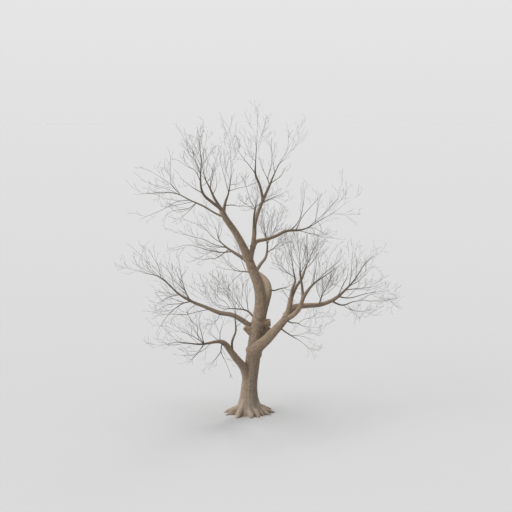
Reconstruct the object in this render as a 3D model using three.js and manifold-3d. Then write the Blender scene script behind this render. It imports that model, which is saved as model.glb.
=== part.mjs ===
import * as THREE from "three";
import { mergeVertices } from "three/addons/utils/BufferGeometryUtils.js";
import Module from "manifold-3d";

// A dead broad-leaved tree, bare and rooted, about twelve metres high. Millimetres, +Z up.
// The origin is the middle of the flat cut at ground level. +X is the tree's right, +Y its back.
//
// Every path is a list of runs, each with a length, a bearing and a rise. Bearings turn from
// +X (0) to +Y (90), and a rise of 90 is straight up. A place on a path counts its runs: 2.5 is
// half way along the third. A limb is a bare bough up to its place `bare`, and from there on it
// is the stem of a mass of twigs, with the mass's main arms. It thins from its radius `foot` to
// its radius `tip`. Above 1, `slim` thins the stem sooner among its twigs, and `twiggy` gives the
// mass more twigs than the rule does.

const GAP = 0.35; // clearance between neighbouring pieces

// Trunk and root flare
const TRUNK = {
  name: "trunk",
  foot: 320,
  tip: 140,
  runs: [[1100, 0, 89], [950, -5, 83], [1150, 0, 82], [1050, 10, 81], [750, -160, 84],
    [750, -170, 68], [500, -170, 72]],
};
const TRUNK_SIDES = 18;
const TRUNK_RINGS = 18;
const RING_SPREAD = 1.4; // above 1 the rings lie closer together in the flare
const TRUNK_TAPER = 0.7; // below 1 the shaft stays thick for longer
const FLARE_SPREAD = 285; // added to the shaft's radius at the ground
const FLARE_HEIGHT = 400; // height over which the flare dies away
const CROWN_RISE = 0.4; // how far the trunk's rounded top stands up, in tip radii
const CROWN_RADIUS = 0.6; // and how wide it ends
const ROOT_COUNT = 12;
const ROOT_REACH = 1020; // from the trunk's middle to a surface root's tip
const ROOT_TOP = 1250; // height where a root's rib leaves the shaft
const ROOT_SIDES = 7;
const ROOT_STRAY = 0.5; // share of the even step between roots that a root may stray
const ROOT_LENGTHS = [0.88, 1.04]; // least and greatest share of the reach
const ROOT_GIRTHS = [0.85, 1.15]; // least and greatest share of the rib's radii
const ROOT_SEED = 11;
const SOIL_WIDTH = 5000; // block that cuts the flare flat at the ground
const SOIL_DEPTH = 1000;
// Stations of a root's rib: share of the reach, share of the top height, radius
const ROOT_RIB = [
  [0.23, 1, 60],
  [0.28, 0.6, 80],
  [0.38, 0.26, 105],
  [0.62, 0.09, 90],
  [0.84, 0.03, 55],
  [1, -0.01, 0],
];

// Limbs
const LIMB_SIDES = 8;
const LIMB_RINGS = 1.5; // rings for each run
const LIMB_TAPER = 0.8;
const COLLAR = 0.55; // how much a limb swells at its foot
const COLLAR_LENGTH = 1.6; // in foot radii

// Masses of twigs
const STEM_SIDES = 5;
const TWIG_SIDES = 3;
const SPINE_RINGS = 1.2; // rings for each run of a stem or an arm
const TWIG_TIP = 4; // radius where a stem or an arm ends
const SLIM = 1; // how fast a stem thins among its twigs, where its limb doesn't say
const CHILD_SHARE = 0.45; // most that a side twig's radius may be of its parent's
const ARM_FOOT = 8; // radius of an arm's foot, and what it gains with the arm's length
const ARM_SLOPE = 0.014;
const TWIG_FOOT = 3; // the same for a twig
const TWIG_SLOPE = 0.009;
const KEEP_AWAY = 45; // between the twigs of two masses
const LIMB_CLEAR = 20; // between a twig and a limb
const LOWEST = 150; // no twig comes nearer to the ground
const TRUNK_GIRTH = 330; // twigs keep away from the trunk as if it were at least this thick
const TEST_STEP = 45; // spacing of the places that are tested for room
const TEST_RINGS = 12; // places for each run of a limb
const TREE_SEED = 3;
const ARM_SEEDS = 100; // keeps the arms' seeds apart from the twigs'
// Side twigs by level: spacing on the parent, lean from it, length as a share of the parent's
// length, the share where the first one grows, and the part of them that is kept here.
const GROWTH = [
  { spacing: 260, lean: 40, ratio: 0.52, first: 0.08, keep: 3 },
  { spacing: 200, lean: 38, ratio: 0.55, first: 0.15, keep: 3 },
];
const SHOOT = 140; // length that every twig has, however short its parent
const SHORTENING = 0.8; // how much shorter twigs are at their parent's tip than at its foot
const LENGTHS = [0.7, 1.2]; // least and greatest share of the length that the rule gives
const STRAY = [0.25, 0.75]; // where a twig may stand between its place and the next one's
const LEAN_SPREAD = 12;
const GOLDEN_TURN = 137.5;
const TURN_SPREAD = 40;
const LIFT = 0.22; // how much each half of a twig turns up
const WANDER = 0.18; // how much it strays to a side

const LIMBS = [
  // Left side, from the lowest bough up.
  {
    name: "low_left_bough", on: "trunk", at: 1.0, foot: 165, bare: 4.4, tip: 15,
    slim: 1.3, twiggy: 0.85,
    runs: [[800, -135, 65], [550, -145, 50], [400, -140, 50], [450, -130, 45], [350, -140, 20],
      [850, -140, 0], [1050, -145, 10], [1150, -140, -5]],
    arms: [
      { at: 4.5, runs: [[400, -130, -75], [400, -165, -50], [500, -150, -35]] },
      { at: 4.5, runs: [[400, -100, -65], [450, -45, -55], [700, -50, -55]] },
      { at: 4.8, runs: [[500, -85, 55], [800, -70, 50]] },
      { at: 4.8, runs: [[350, 145, 30], [650, 130, 30]] },
      { at: 5.8, runs: [[450, 140, 45], [300, 110, 75], [500, 145, 40], [400, 110, 55]] },
      { at: 5.8, runs: [[550, -140, 35], [700, -130, 25], [600, -125, 35]] },
      { at: 5.8, runs: [[700, -105, 55], [850, -100, 50]] },
      { at: 5.8, runs: [[750, -110, -20], [700, -115, -20]] },
    ],
  },
  {
    name: "low_left_riser", on: "low_left_bough", at: 2.6, foot: 50, bare: 2.2, twiggy: 1.6,
    runs: [[450, -100, 85], [450, 25, 70], [500, 100, 70], [450, 85, 75], [850, -115, 80]],
    arms: [
      { at: 2.3, runs: [[350, -55, 30], [600, -60, 35]] },
      { at: 3.4, runs: [[800, -115, 50], [750, -120, 40]] },
    ],
  },
  {
    name: "mid_left_bough", on: "trunk", at: 2.9, foot: 115, bare: 3.9, tip: 25,
    slim: 0.4, twiggy: 1.1,
    runs: [[450, 150, 45], [400, 150, 30], [450, 150, 20], [550, 155, 5], [650, 150, 15],
      [700, 150, 15], [650, 155, 25], [1000, 150, 35], [850, 150, 10]],
    arms: [
      { at: 4.0, runs: [[350, -105, -40], [650, -145, -20]] },
      { at: 5.6, runs: [[450, -135, -25], [450, -110, -40]] },
      { at: 6.0, runs: [[400, -150, -10], [550, -140, -25], [550, -140, -40], [650, -135, -50]] },
      { at: 6.0, runs: [[400, 165, -15], [750, 150, -10], [650, 150, -30]] },
      { at: 6.1, runs: [[600, -120, 50], [600, -135, 40], [700, -145, 55]] },
      { at: 6.1, runs: [[550, 135, 55], [700, 115, 55], [800, 115, 70]] },
      { at: 6.9, runs: [[500, 150, -15], [550, 135, -25], [550, 140, -30]] },
      { at: 8.0, runs: [[450, -130, 75], [400, -155, 60], [450, -160, 60]] },
      { at: 8.1, runs: [[500, 135, 30], [650, 135, 40], [550, 140, 30]] },
      { at: 8.6, runs: [[750, 150, 10], [800, 155, 10]] },
    ],
  },
  {
    name: "mid_left_sprig", on: "trunk", at: 3.2, foot: 45, bare: 1.5, twiggy: 1.6,
    runs: [[550, 120, 40], [450, 130, 20], [600, 145, 0], [650, 135, -5], [750, 145, 25],
      [1000, 140, 25]],
    arms: [
      { at: 1.6, runs: [[400, 105, 55], [500, 100, 55], [550, 80, 50]] },
      { at: 2.1, runs: [[550, -125, 45], [450, -150, 65], [550, -105, 70]] },
      { at: 2.8, runs: [[550, 120, 40], [650, 125, 25], [700, 120, 40]] },
      { at: 3.2, runs: [[400, -150, 50], [350, -140, 25], [500, -95, 70], [600, -60, 80]] },
      { at: 4.6, runs: [[550, -155, 60], [650, -145, 60]] },
    ],
  },
  // Right side. The largest bough leaves the front of the trunk and forks twice.
  {
    name: "right_bough", on: "trunk", at: 2.3, foot: 225, tip: 80,
    runs: [[400, -55, 40], [550, -35, 40], [600, -40, 45], [500, -40, 45], [500, -50, 55],
      [500, 10, 80]],
  },
  {
    name: "right_inner_riser", on: "right_bough", at: 5.9, foot: 55, bare: 2.3, twiggy: 3.5,
    runs: [[400, 15, 80], [300, 45, 60], [400, 125, 75], [450, 135, 75], [1100, 115, 55]],
    arms: [
      { at: 2.4, runs: [[750, -130, 30], [900, -115, 30]] },
    ],
  },
  {
    name: "right_cross_riser", on: "right_bough", at: 5.9, foot: 65, bare: 2.7, twiggy: 3,
    runs: [[550, 45, 55], [450, 50, 40], [500, 65, 45], [550, 55, 50], [1150, 55, 50]],
    arms: [
      { at: 2.8, runs: [[650, -50, 40], [950, -70, 40]] },
    ],
  },
  {
    name: "right_outer_bough", on: "right_bough", at: 4.5, foot: 120, bare: 4.3, twiggy: 0.85,
    runs: [[450, -10, 50], [500, 20, 5], [600, 25, 0], [550, 25, 15], [600, 40, 25],
      [750, 40, 35], [900, 40, 45], [750, 40, 25]],
    arms: [
      { at: 4.5, runs: [[500, -35, 65], [400, -55, 55], [550, -75, 65]] },
      { at: 4.5, runs: [[600, 35, -10], [1000, 40, 5], [1050, 35, 0]] },
      { at: 5.2, runs: [[500, -30, 10], [750, -50, 10], [750, -45, 20]] },
      { at: 5.5, runs: [[550, -80, 55], [600, -90, 60], [900, -85, 65]] },
      { at: 5.5, runs: [[550, 45, 15], [600, 55, 20], [650, 50, 25]] },
    ],
  },
  {
    name: "right_far_limb", on: "right_outer_bough", at: 3.9, foot: 35, bare: 1.6, twiggy: 2.5,
    runs: [[250, 15, -30], [300, 30, -15], [450, 35, 10], [500, 35, 5], [600, 45, 15],
      [1300, 45, -5]],
    arms: [
      { at: 2.0, runs: [[400, -60, -15], [450, -55, 0], [950, -55, 0]] },
      { at: 2.4, runs: [[500, 45, -40], [450, 60, -35]] },
      { at: 3.9, runs: [[550, 35, -10], [850, 40, 0], [600, 40, -35]] },
    ],
  },
  {
    name: "right_outer_riser", on: "right_outer_bough", at: 2.9, foot: 25, bare: 0.4, twiggy: 4,
    runs: [[550, -60, 60], [550, -40, 55], [800, -30, 65]],
    arms: [
      { at: 0.5, runs: [[550, 80, 25], [650, 65, 25], [600, 60, 45]] },
      { at: 0.5, runs: [[650, -110, 40], [750, -95, 50], [750, -80, 50]] },
      { at: 0.7, runs: [[550, 45, 20], [600, 25, 45], [450, 50, 55]] },
    ],
  },
  {
    name: "right_middle_bough", on: "right_bough", at: 4.2, foot: 105, bare: 3.1,
    slim: 1.6, twiggy: 0.4,
    runs: [[450, -45, 25], [450, -35, 45], [550, -55, 60], [700, -50, 45], [600, -35, 35],
      [800, -50, 30], [950, -55, 35]],
    arms: [
      { at: 4.0, runs: [[550, -85, 50], [650, -85, 45], [600, -95, 55]] },
      { at: 4.1, runs: [[650, 35, 35], [750, 45, 25], [600, 50, 35]] },
      { at: 5.0, runs: [[750, -80, 50], [650, -55, 60]] },
      { at: 5.0, runs: [[900, -75, -10], [800, -60, -10]] },
    ],
  },
  {
    name: "right_middle_riser", on: "right_middle_bough", at: 2.8, foot: 55, bare: 1.9, twiggy: 2.6,
    runs: [[450, -170, 85], [500, -150, 80], [550, -95, 70], [1200, -105, 65]],
    arms: [
      { at: 2.0, runs: [[750, -65, 45], [1000, -90, 40]] },
    ],
  },
  {
    name: "right_low_sprig", on: "right_bough", at: 3.3, foot: 35, bare: 1.7,
    runs: [[300, -40, -25], [450, -45, -20], [450, -40, -20], [1050, -50, -25]],
    arms: [
      { at: 1.8, runs: [[800, -55, 5], [750, -55, -5]] },
    ],
  },
  {
    name: "right_low_twig", on: "right_bough", at: 4.2, foot: 30, bare: 1.6,
    runs: [[400, -55, -10], [500, -60, 5], [500, -60, -5], [1200, -55, 5]],
    arms: [
      { at: 2.0, runs: [[350, -45, 30], [450, -40, 20], [400, -55, 30], [700, -55, 5]] },
      { at: 2.9, runs: [[550, -70, -10], [750, -65, -5]] },
    ],
  },
  // Behind the trunk, a thick bough that swells past its right edge and then runs back.
  {
    name: "back_bough", on: "trunk", at: 3.2, foot: 205, tip: 100,
    runs: [[550, 60, 55], [550, 65, 50], [500, 75, 40], [500, 95, 30], [650, 105, 15],
      [700, 115, 10]],
  },
  {
    name: "back_riser", on: "back_bough", at: 6.0, foot: 75, bare: 2.2, twiggy: 3.5,
    runs: [[450, 55, 40], [750, 70, 20], [600, 80, 60], [700, 110, 60], [1150, 100, 55]],
    arms: [
      { at: 2.3, runs: [[700, 50, 20], [1100, 55, 20]] },
      { at: 2.9, runs: [[650, -5, 65], [850, 30, 60]] },
    ],
  },
  {
    name: "back_left_limb", on: "back_bough", at: 5.3, foot: 40, bare: 1.9,
    runs: [[850, 110, 0], [600, 120, 0], [650, 135, 0], [700, 125, 20], [1050, 130, 20]],
    arms: [
      { at: 2.0, runs: [[850, 110, 35], [1050, 105, 40]] },
      { at: 2.3, runs: [[950, 120, -30], [900, 130, -45]] },
    ],
  },
  {
    name: "back_right_limb", on: "back_bough", at: 3.5, foot: 35, bare: 1.8, twiggy: 2,
    runs: [[550, 65, -20], [650, 60, 0], [900, 65, 0], [1250, 65, 15]],
    arms: [
      { at: 2.0, runs: [[650, 55, -40], [900, 60, -35]] },
    ],
  },
  // Above the fork, the left leader and what it carries.
  {
    name: "left_leader", on: "trunk", at: 6.8, foot: 145, tip: 95,
    runs: [[650, -140, 60], [600, -140, 55], [650, -140, 50], [450, -130, 55]],
  },
  {
    name: "left_front_limb", on: "left_leader", at: 4.0, foot: 60, bare: 2.2, tip: 12,
    slim: 0.5, twiggy: 0.7,
    runs: [[650, -120, 25], [600, -125, 30], [500, -105, 40], [600, -90, 50], [750, -85, 55],
      [1250, -100, 60]],
    arms: [
      { at: 2.3, runs: [[700, -120, 20], [900, -120, 25]] },
      { at: 3.5, runs: [[650, -110, 40], [500, -125, 20], [600, -125, 25]] },
      { at: 4.0, runs: [[700, -105, 45], [600, -110, 25], [700, -110, 45]] },
      { at: 4.6, runs: [[550, 145, 55], [450, 155, 50], [650, 140, 55]] },
      { at: 5.0, runs: [[550, -65, 50], [750, -75, 50]] },
    ],
  },
  {
    name: "left_middle_limb", on: "left_leader", at: 4.0, foot: 55, bare: 1.3, twiggy: 1.0,
    runs: [[500, -150, 55], [400, -155, 65], [600, -120, 50], [650, 170, 80], [800, 120, 75]],
    arms: [
      { at: 1.4, runs: [[500, 70, 40], [550, 100, 60]] },
      { at: 2.0, runs: [[500, 80, 50], [550, 75, 55], [600, 65, 60]] },
      { at: 2.8, runs: [[550, -80, 55], [650, -75, 60]] },
      { at: 3.1, runs: [[700, 130, 40], [800, 125, 35]] },
    ],
  },
  {
    name: "left_inner_limb", on: "left_leader", at: 3.5, foot: 60, bare: 0.7, twiggy: 1.8,
    runs: [[400, 55, 75], [400, 45, 65], [500, 70, 65], [600, 75, 80], [1600, 100, 65]],
    arms: [
      { at: 0.8, runs: [[500, -55, 5], [650, -60, 0], [650, -60, 15]] },
      { at: 2.1, runs: [[500, -110, 55], [500, -110, 55], [800, -110, 55]] },
      { at: 2.2, runs: [[500, -45, 15], [700, -55, 10], [650, -60, 15]] },
      { at: 2.7, runs: [[500, 40, 10], [600, 55, 35]] },
      { at: 4.1, runs: [[350, 50, 40], [700, 70, 50]] },
    ],
  },
  {
    name: "left_reach_limb", on: "left_leader", at: 3.1, foot: 38, bare: 1.9, tip: 12,
    slim: 0.6, twiggy: 0.55,
    runs: [[450, 155, 20], [600, 150, 25], [600, 155, 20], [600, 145, 20], [600, 150, 5],
      [650, 160, -5], [650, 165, -5]],
    arms: [
      { at: 2.5, runs: [[500, 130, -35], [550, 140, -35], [550, 140, -25]] },
      { at: 2.5, runs: [[400, -150, -30], [400, -155, -5], [450, -135, -10], [500, -135, -35]] },
      { at: 3.0, runs: [[550, -150, -5], [700, -135, -20], [700, -135, -15], [500, -130, -15]] },
      { at: 3.8, runs: [[550, 145, 40], [450, 150, 30], [600, 145, 25], [350, 145, 25]] },
      { at: 3.8, runs: [[550, -170, 50], [500, -90, 70], [700, -85, 60]] },
      { at: 4.0, runs: [[600, -125, 20], [600, -145, 15], [750, -135, 20]] },
    ],
  },
  // A limb from the left of the trunk, just under the fork.
  {
    name: "mid_left_limb", on: "trunk", at: 6.1, foot: 75, bare: 1.9, twiggy: 0.6,
    runs: [[400, 150, 40], [550, 145, 25], [550, 130, 20], [450, 135, 35], [650, 110, 45],
      [1100, 130, 45]],
    arms: [
      { at: 2.1, runs: [[600, 155, -5], [700, 140, 5], [800, 155, 10], [800, 155, -15]] },
      { at: 2.5, runs: [[750, 140, -30], [600, 135, -10], [550, 145, -20]] },
      { at: 2.8, runs: [[600, -145, 15], [550, -145, 25], [600, -150, 15], [600, -150, 15]] },
      { at: 3.3, runs: [[650, 140, 25], [600, 135, 35], [550, 150, 15], [500, 140, 15]] },
      { at: 4.0, runs: [[500, 75, 45], [650, 120, 45]] },
    ],
  },
  // Above the fork, the right leader and what it carries.
  {
    name: "right_leader", on: "trunk", at: 6.5, foot: 105, bare: 5.8,
    slim: 1.5, twiggy: 0.6,
    runs: [[500, 30, 75], [500, 60, 75], [500, 70, 80], [550, 45, 65], [500, 40, 60],
      [600, 40, 60], [600, 40, 60], [800, 35, 55], [1400, 45, 50]],
    arms: [
      { at: 5.9, runs: [[500, 105, 35], [550, 120, 45], [550, 115, 55]] },
      { at: 5.9, runs: [[450, 100, 40], [650, 70, 50], [900, 95, 60]] },
      { at: 6.0, runs: [[500, -65, 20], [500, -65, 20], [600, -70, 35]] },
      { at: 7.9, runs: [[450, 45, 20], [500, 50, 40], [500, 45, 40]] },
    ],
  },
  {
    name: "right_leader_riser", on: "right_leader", at: 4.8, foot: 55, bare: 2.0, twiggy: 1.1,
    runs: [[550, -145, 75], [500, -145, 65], [500, -90, 65], [650, -45, 85], [1400, -75, 80]],
    arms: [
      { at: 2.1, runs: [[550, -120, 35], [600, -130, 40], [550, -125, 40]] },
      { at: 3.1, runs: [[500, 115, 25], [600, 110, 35], [600, 115, 50]] },
      { at: 3.8, runs: [[600, -70, 35], [900, -70, 55]] },
    ],
  },
  {
    name: "right_leader_spur", on: "right_leader", at: 2.4, foot: 50, bare: 1.7, twiggy: 2.5,
    runs: [[500, -95, 65], [500, -80, 55], [350, -80, 45], [650, -75, 50]],
    arms: [
      { at: 1.9, runs: [[550, -120, 20], [900, -115, 20]] },
      { at: 2.0, runs: [[400, -165, 60], [450, 145, 70], [450, 135, 65]] },
      { at: 2.1, runs: [[500, -65, 25], [700, -65, 25], [600, -60, 10]] },
    ],
  },
  {
    name: "upper_right_bough", on: "right_leader", at: 1.1, foot: 80, bare: 4.0,
    slim: 1.6, twiggy: 0.5,
    runs: [[350, 55, 35], [450, 45, 5], [500, 40, 10], [550, 30, 20], [650, 35, 0], [500, 40, 10],
      [650, 30, 25], [650, 40, 20], [750, 30, 30], [850, 35, 25]],
    arms: [
      { at: 4.3, runs: [[450, 40, 35], [500, 50, 55], [650, 55, 75], [550, 100, 70]] },
      { at: 4.7, runs: [[600, -40, 60], [500, -20, 50], [650, -35, 45]] },
      { at: 5.8, runs: [[550, 50, -5], [750, 60, -20], [800, 50, -20]] },
      { at: 6.5, runs: [[500, -80, 55], [500, -75, 70], [600, -115, 70]] },
      { at: 7.8, runs: [[600, -50, 55], [550, -55, 65], [550, -55, 70]] },
      { at: 8.0, runs: [[400, -25, -5], [600, -35, -20]] },
    ],
  },
  {
    name: "right_leader_side", on: "right_leader", at: 4.6, foot: 22, bare: 1.0, twiggy: 0.3,
    runs: [[400, 40, 15], [550, 45, 15], [1000, 55, 10]],
    arms: [
      { at: 1.2, runs: [[950, 60, -20], [900, 65, -30]] },
    ],
  },
];

// Boughs that were sawn off, each a short stump with a flat end.
const STUBS = [
  { name: "stub_left", on: "trunk", at: 2.9, foot: 180, tip: 85, runs: [[550, -170, 32]] },
  { name: "stub_right", on: "trunk", at: 3.3, foot: 160, tip: 125, runs: [[480, 0, 3]] },
  { name: "stub_back", on: "trunk", at: 2.9, foot: 160, tip: 120, runs: [[600, 25, 15]] },
];

// Colour, roughness and metalness of each kind of piece
const FINISHES = {
  trunk: { color: 0x87786a, roughness: 0.95, metalness: 0 },
  bough: { color: 0x85766a, roughness: 0.92, metalness: 0 },
  stub: { color: 0x8f806f, roughness: 0.9, metalness: 0 },
  twigs: { color: 0x7a6e66, roughness: 0.9, metalness: 0 },
};

const UP = new THREE.Vector3(0, 0, 1);
const wasm = await Module();
wasm.setup();

// ---- Paths ----

// The vector of one run, from its length, bearing and rise.
function runVector([length, bearing, rise]) {
  const turn = THREE.MathUtils.degToRad(bearing);
  const climb = THREE.MathUtils.degToRad(rise);
  const level = length * Math.cos(climb);
  return new THREE.Vector3(level * Math.cos(turn), level * Math.sin(turn), length * Math.sin(climb));
}

// A smooth path from a start through the ends of its runs.
function pathAlong(start, runs) {
  const points = [start.clone()];
  for (const run of runs) points.push(points.at(-1).clone().add(runVector(run)));
  return new THREE.CatmullRomCurve3(points, false, "catmullrom", 0.5);
}

// The point at a place on a path, counted in runs.
function pointAt(path, place) {
  return path.getPoint(THREE.MathUtils.clamp(place / (path.points.length - 1), 0, 1));
}

// ---- Solids ----

// A closed rod through the given points with the given radii. A cylinder's faces are laid along
// the points, each ring square to the way the rod runs there. A last radius of 0 makes a point.
function rod(points, radii, sides) {
  const steps = points.length - 1;
  const pointed = radii[steps] === 0;
  const geometry = new THREE.CylinderGeometry(pointed ? 0 : 1, 1, 1, sides, steps);
  const tangents = points.map((_, i) => points[Math.min(i + 1, steps)].clone()
    .sub(points[Math.max(i - 1, 0)])
    .normalize());
  const normals = [];
  for (const tangent of tangents) {
    const steep = Math.abs(tangent.z) > 0.9;
    const guide = normals.at(-1) ?? (steep ? new THREE.Vector3(1, 0, 0) : UP);
    normals.push(guide.clone().addScaledVector(tangent, -guide.dot(tangent)).normalize());
  }
  const position = geometry.attributes.position;
  const local = new THREE.Vector3();
  for (let v = 0; v < position.count; v += 1) {
    local.fromBufferAttribute(position, v);
    const ring = Math.round((local.y + 0.5) * steps);
    const spread = Math.hypot(local.x, local.z);
    const scale = spread > 1e-6 ? radii[ring] / spread : 0;
    const across = new THREE.Vector3().crossVectors(normals[ring], tangents[ring]);
    const place = points[ring].clone()
      .addScaledVector(normals[ring], local.x * scale)
      .addScaledVector(across, local.z * scale);
    position.setXYZ(v, place.x, place.y, place.z);
  }
  return geometry;
}

// A closed geometry becomes a solid that can be joined and cut.
function solid(geometry) {
  geometry.deleteAttribute("normal");
  geometry.deleteAttribute("uv");
  const merged = mergeVertices(geometry, 1e-3);
  return new wasm.Manifold(new wasm.Mesh({
    numProp: 3,
    vertProperties: new Float32Array(merged.attributes.position.array),
    triVerts: new Uint32Array(merged.index.array),
  }));
}

// The largest body of a solid, without the slivers that a cut leaves.
function largest(body) {
  const pieces = body.decompose();
  return pieces.reduce((best, piece) => (piece.volume() > best.volume() ? piece : best));
}

// ---- Random numbers ----

// Even random numbers from 0 to 1, the same in every run.
function randomFrom(seed) {
  let state = seed >>> 0;
  return () => {
    state = (state + 0x6d2b79f5) >>> 0;
    let mixed = Math.imul(state ^ (state >>> 15), 1 | state);
    mixed = (mixed + Math.imul(mixed ^ (mixed >>> 7), 61 | mixed)) ^ mixed;
    return ((mixed ^ (mixed >>> 14)) >>> 0) / 4294967296;
  };
}

// The seed of a parent's child.
function childSeed(seed, number) {
  return (Math.imul(seed, 2654435761) + Math.imul(number + 1, 40503)) >>> 0;
}

// ---- Trunk ----

function trunkRadius(share, height) {
  const shaft = TRUNK.tip + (TRUNK.foot - TRUNK.tip) * (1 - share) ** TRUNK_TAPER;
  return shaft + FLARE_SPREAD * Math.exp(-height / FLARE_HEIGHT);
}

// A rib that runs down the flare and out along the ground as a surface root.
function rootSolid(bearing, reach, thickness, clearance) {
  const points = ROOT_RIB.map(([out, height]) =>
    runVector([out * reach, bearing, 0]).setZ(height * ROOT_TOP));
  const radii = ROOT_RIB.map(([, , radius]) =>
    (radius > 0 ? radius * thickness + clearance : 0));
  return solid(rod(points, radii, ROOT_SIDES));
}

// The shaft and its roots, cut flat at the ground. A clearance grows it, to cut its neighbours.
function trunkSolid(clearance = 0) {
  const points = [];
  const radii = [];
  for (let i = 0; i <= TRUNK_RINGS; i += 1) {
    const share = (i / TRUNK_RINGS) ** RING_SPREAD;
    points.push(TRUNK.path.getPoint(share));
    radii.push(trunkRadius(share, points[i].z) + clearance);
  }
  const crown = TRUNK.path.getTangent(1).multiplyScalar(CROWN_RISE * TRUNK.tip + clearance);
  points.push(points.at(-1).clone().add(crown));
  radii.push(CROWN_RADIUS * TRUNK.tip + clearance);
  const pieces = [solid(rod(points, radii, TRUNK_SIDES))];
  const random = randomFrom(ROOT_SEED);
  for (let i = 0; i < ROOT_COUNT; i += 1) {
    const bearing = (i + ROOT_STRAY * (random() - 0.5)) * (360 / ROOT_COUNT);
    const reach = ROOT_REACH * THREE.MathUtils.lerp(...ROOT_LENGTHS, random());
    const thickness = THREE.MathUtils.lerp(...ROOT_GIRTHS, random());
    pieces.push(rootSolid(bearing, reach, thickness, clearance));
  }
  const soil = new THREE.BoxGeometry(SOIL_WIDTH, SOIL_WIDTH, SOIL_DEPTH);
  soil.translate(0, 0, -SOIL_DEPTH / 2);
  return largest(wasm.Manifold.union(pieces).subtract(solid(soil)));
}

// ---- Limbs ----

// Radius of a limb at a share of its length, which lies a distance from its foot.
function limbRadius(limb, share, distance) {
  const shaft = limb.tip + (limb.foot - limb.tip) * (1 - share) ** LIMB_TAPER;
  return shaft * (1 + COLLAR * Math.exp(-distance / (COLLAR_LENGTH * limb.foot)));
}

// Points and radii of a limb between two places on it.
function limbRings(limb, from, to, perRun) {
  const steps = Math.max(2, Math.round((to - from) * perRun));
  const length = limb.path.getLength();
  const points = [];
  const radii = [];
  for (let i = 0; i <= steps; i += 1) {
    const place = from + ((to - from) * i) / steps;
    const share = place / limb.runs.length;
    points.push(pointAt(limb.path, place));
    radii.push(limbRadius(limb, share, share * length));
  }
  return { points, radii };
}

// A bough up to where its twigs begin. A clearance grows it, to cut its neighbours.
function boughSolid(limb, clearance = 0) {
  const end = limb.bare ?? limb.runs.length;
  const { points, radii } = limbRings(limb, 0, end, LIMB_RINGS);
  const onward = points.at(-1).clone().sub(points.at(-2)).normalize();
  const inward = points[1].clone().sub(points[0]).normalize();
  points.at(-1).addScaledVector(onward, clearance);
  points[0].addScaledVector(inward, -clearance);
  return solid(rod(points, radii.map((radius) => radius + clearance), LIMB_SIDES));
}

// ---- Twigs ----

// Places along a line of points, at most TEST_STEP apart, without the line's start.
function testPlaces(points) {
  const places = [];
  for (let i = 1; i < points.length; i += 1) {
    const steps = Math.ceil(points[i].distanceTo(points[i - 1]) / TEST_STEP);
    for (let s = 1; s <= steps; s += 1) {
      places.push(points[i - 1].clone().lerp(points[i], s / steps));
    }
  }
  return places;
}

function nearest(point, places) {
  let best = Infinity;
  for (const place of places) best = Math.min(best, place.distanceToSquared(point));
  return Math.sqrt(best);
}

// A stem or an arm of a mass, as a parent that side twigs grow on.
function spine(path, from, radiusAt, seed) {
  const runs = path.points.length - 1;
  const steps = Math.max(2, Math.round((runs - from) * SPINE_RINGS));
  const points = [];
  const radii = [];
  for (let i = 0; i <= steps; i += 1) {
    const share = i / steps;
    points.push(pointAt(path, from + (runs - from) * share));
    radii.push(radiusAt(share));
  }
  return { points, radii, seed };
}

// The point, tangent and radius at a share of a parent's length.
function along(parent, share) {
  const last = parent.points.length - 1;
  const lengths = [0];
  for (let i = 1; i <= last; i += 1) {
    lengths.push(lengths[i - 1] + parent.points[i].distanceTo(parent.points[i - 1]));
  }
  const want = share * lengths[last];
  let i = 1;
  while (i < last && lengths[i] < want) i += 1;
  const part = (want - lengths[i - 1]) / (lengths[i] - lengths[i - 1]);
  return {
    point: parent.points[i - 1].clone().lerp(parent.points[i], part),
    tangent: parent.points[i].clone().sub(parent.points[i - 1]).normalize(),
    radius: THREE.MathUtils.lerp(parent.radii[i - 1], parent.radii[i], part),
    length: lengths[last],
  };
}

// A direction that leans from a tangent by an angle, turned about it by a roll, in degrees.
function leaning(tangent, lean, roll) {
  const flat = Math.abs(tangent.z) > 0.95 ? new THREE.Vector3(1, 0, 0) : UP;
  const side = new THREE.Vector3().crossVectors(tangent, flat).normalize();
  const over = new THREE.Vector3().crossVectors(side, tangent);
  const turn = THREE.MathUtils.degToRad(roll);
  const tilt = THREE.MathUtils.degToRad(lean);
  return tangent.clone().multiplyScalar(Math.cos(tilt))
    .addScaledVector(side, Math.sin(tilt) * Math.cos(turn))
    .addScaledVector(over, Math.sin(tilt) * Math.sin(turn));
}

// The side twigs of a parent at one level, `crowding` times as many as the spacing gives. Each
// has its own seed, so leaving one out changes nothing else.
function sideTwigs(parent, level, crowding = 1) {
  const { spacing, lean, ratio, first, keep } = GROWTH[level];
  const { length } = along(parent, 0);
  const count = Math.max(1, Math.round((length * (1 - first) * crowding) / spacing));
  const startRoll = 360 * randomFrom(parent.seed)();
  const twigs = [];
  for (let k = 0; k < count; k += keep) {
    const seed = childSeed(parent.seed, k);
    const random = randomFrom(seed);
    const share = first + ((1 - first) * (k + THREE.MathUtils.lerp(...STRAY, random()))) / count;
    const foot = along(parent, share);
    const whole = ratio * length * (1 - SHORTENING * share);
    const reach = SHOOT + whole * THREE.MathUtils.lerp(...LENGTHS, random());
    const tilt = lean + LEAN_SPREAD * (2 * random() - 1);
    const roll = startRoll + k * GOLDEN_TURN + TURN_SPREAD * (random() - 0.5);
    const heading = leaning(foot.tangent, tilt, roll);
    const points = [foot.point];
    for (let half = 0; half < 2; half += 1) {
      const stray = leaning(heading, 90, 360 * random());
      heading.addScaledVector(UP, LIFT).addScaledVector(stray, WANDER).normalize();
      points.push(points.at(-1).clone().addScaledVector(heading, reach / 2));
    }
    const radius = Math.min(CHILD_SHARE * foot.radius, TWIG_FOOT + TWIG_SLOPE * reach);
    twigs.push({ points, radii: [radius, radius / 2, 0], seed });
  }
  return twigs;
}

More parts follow.
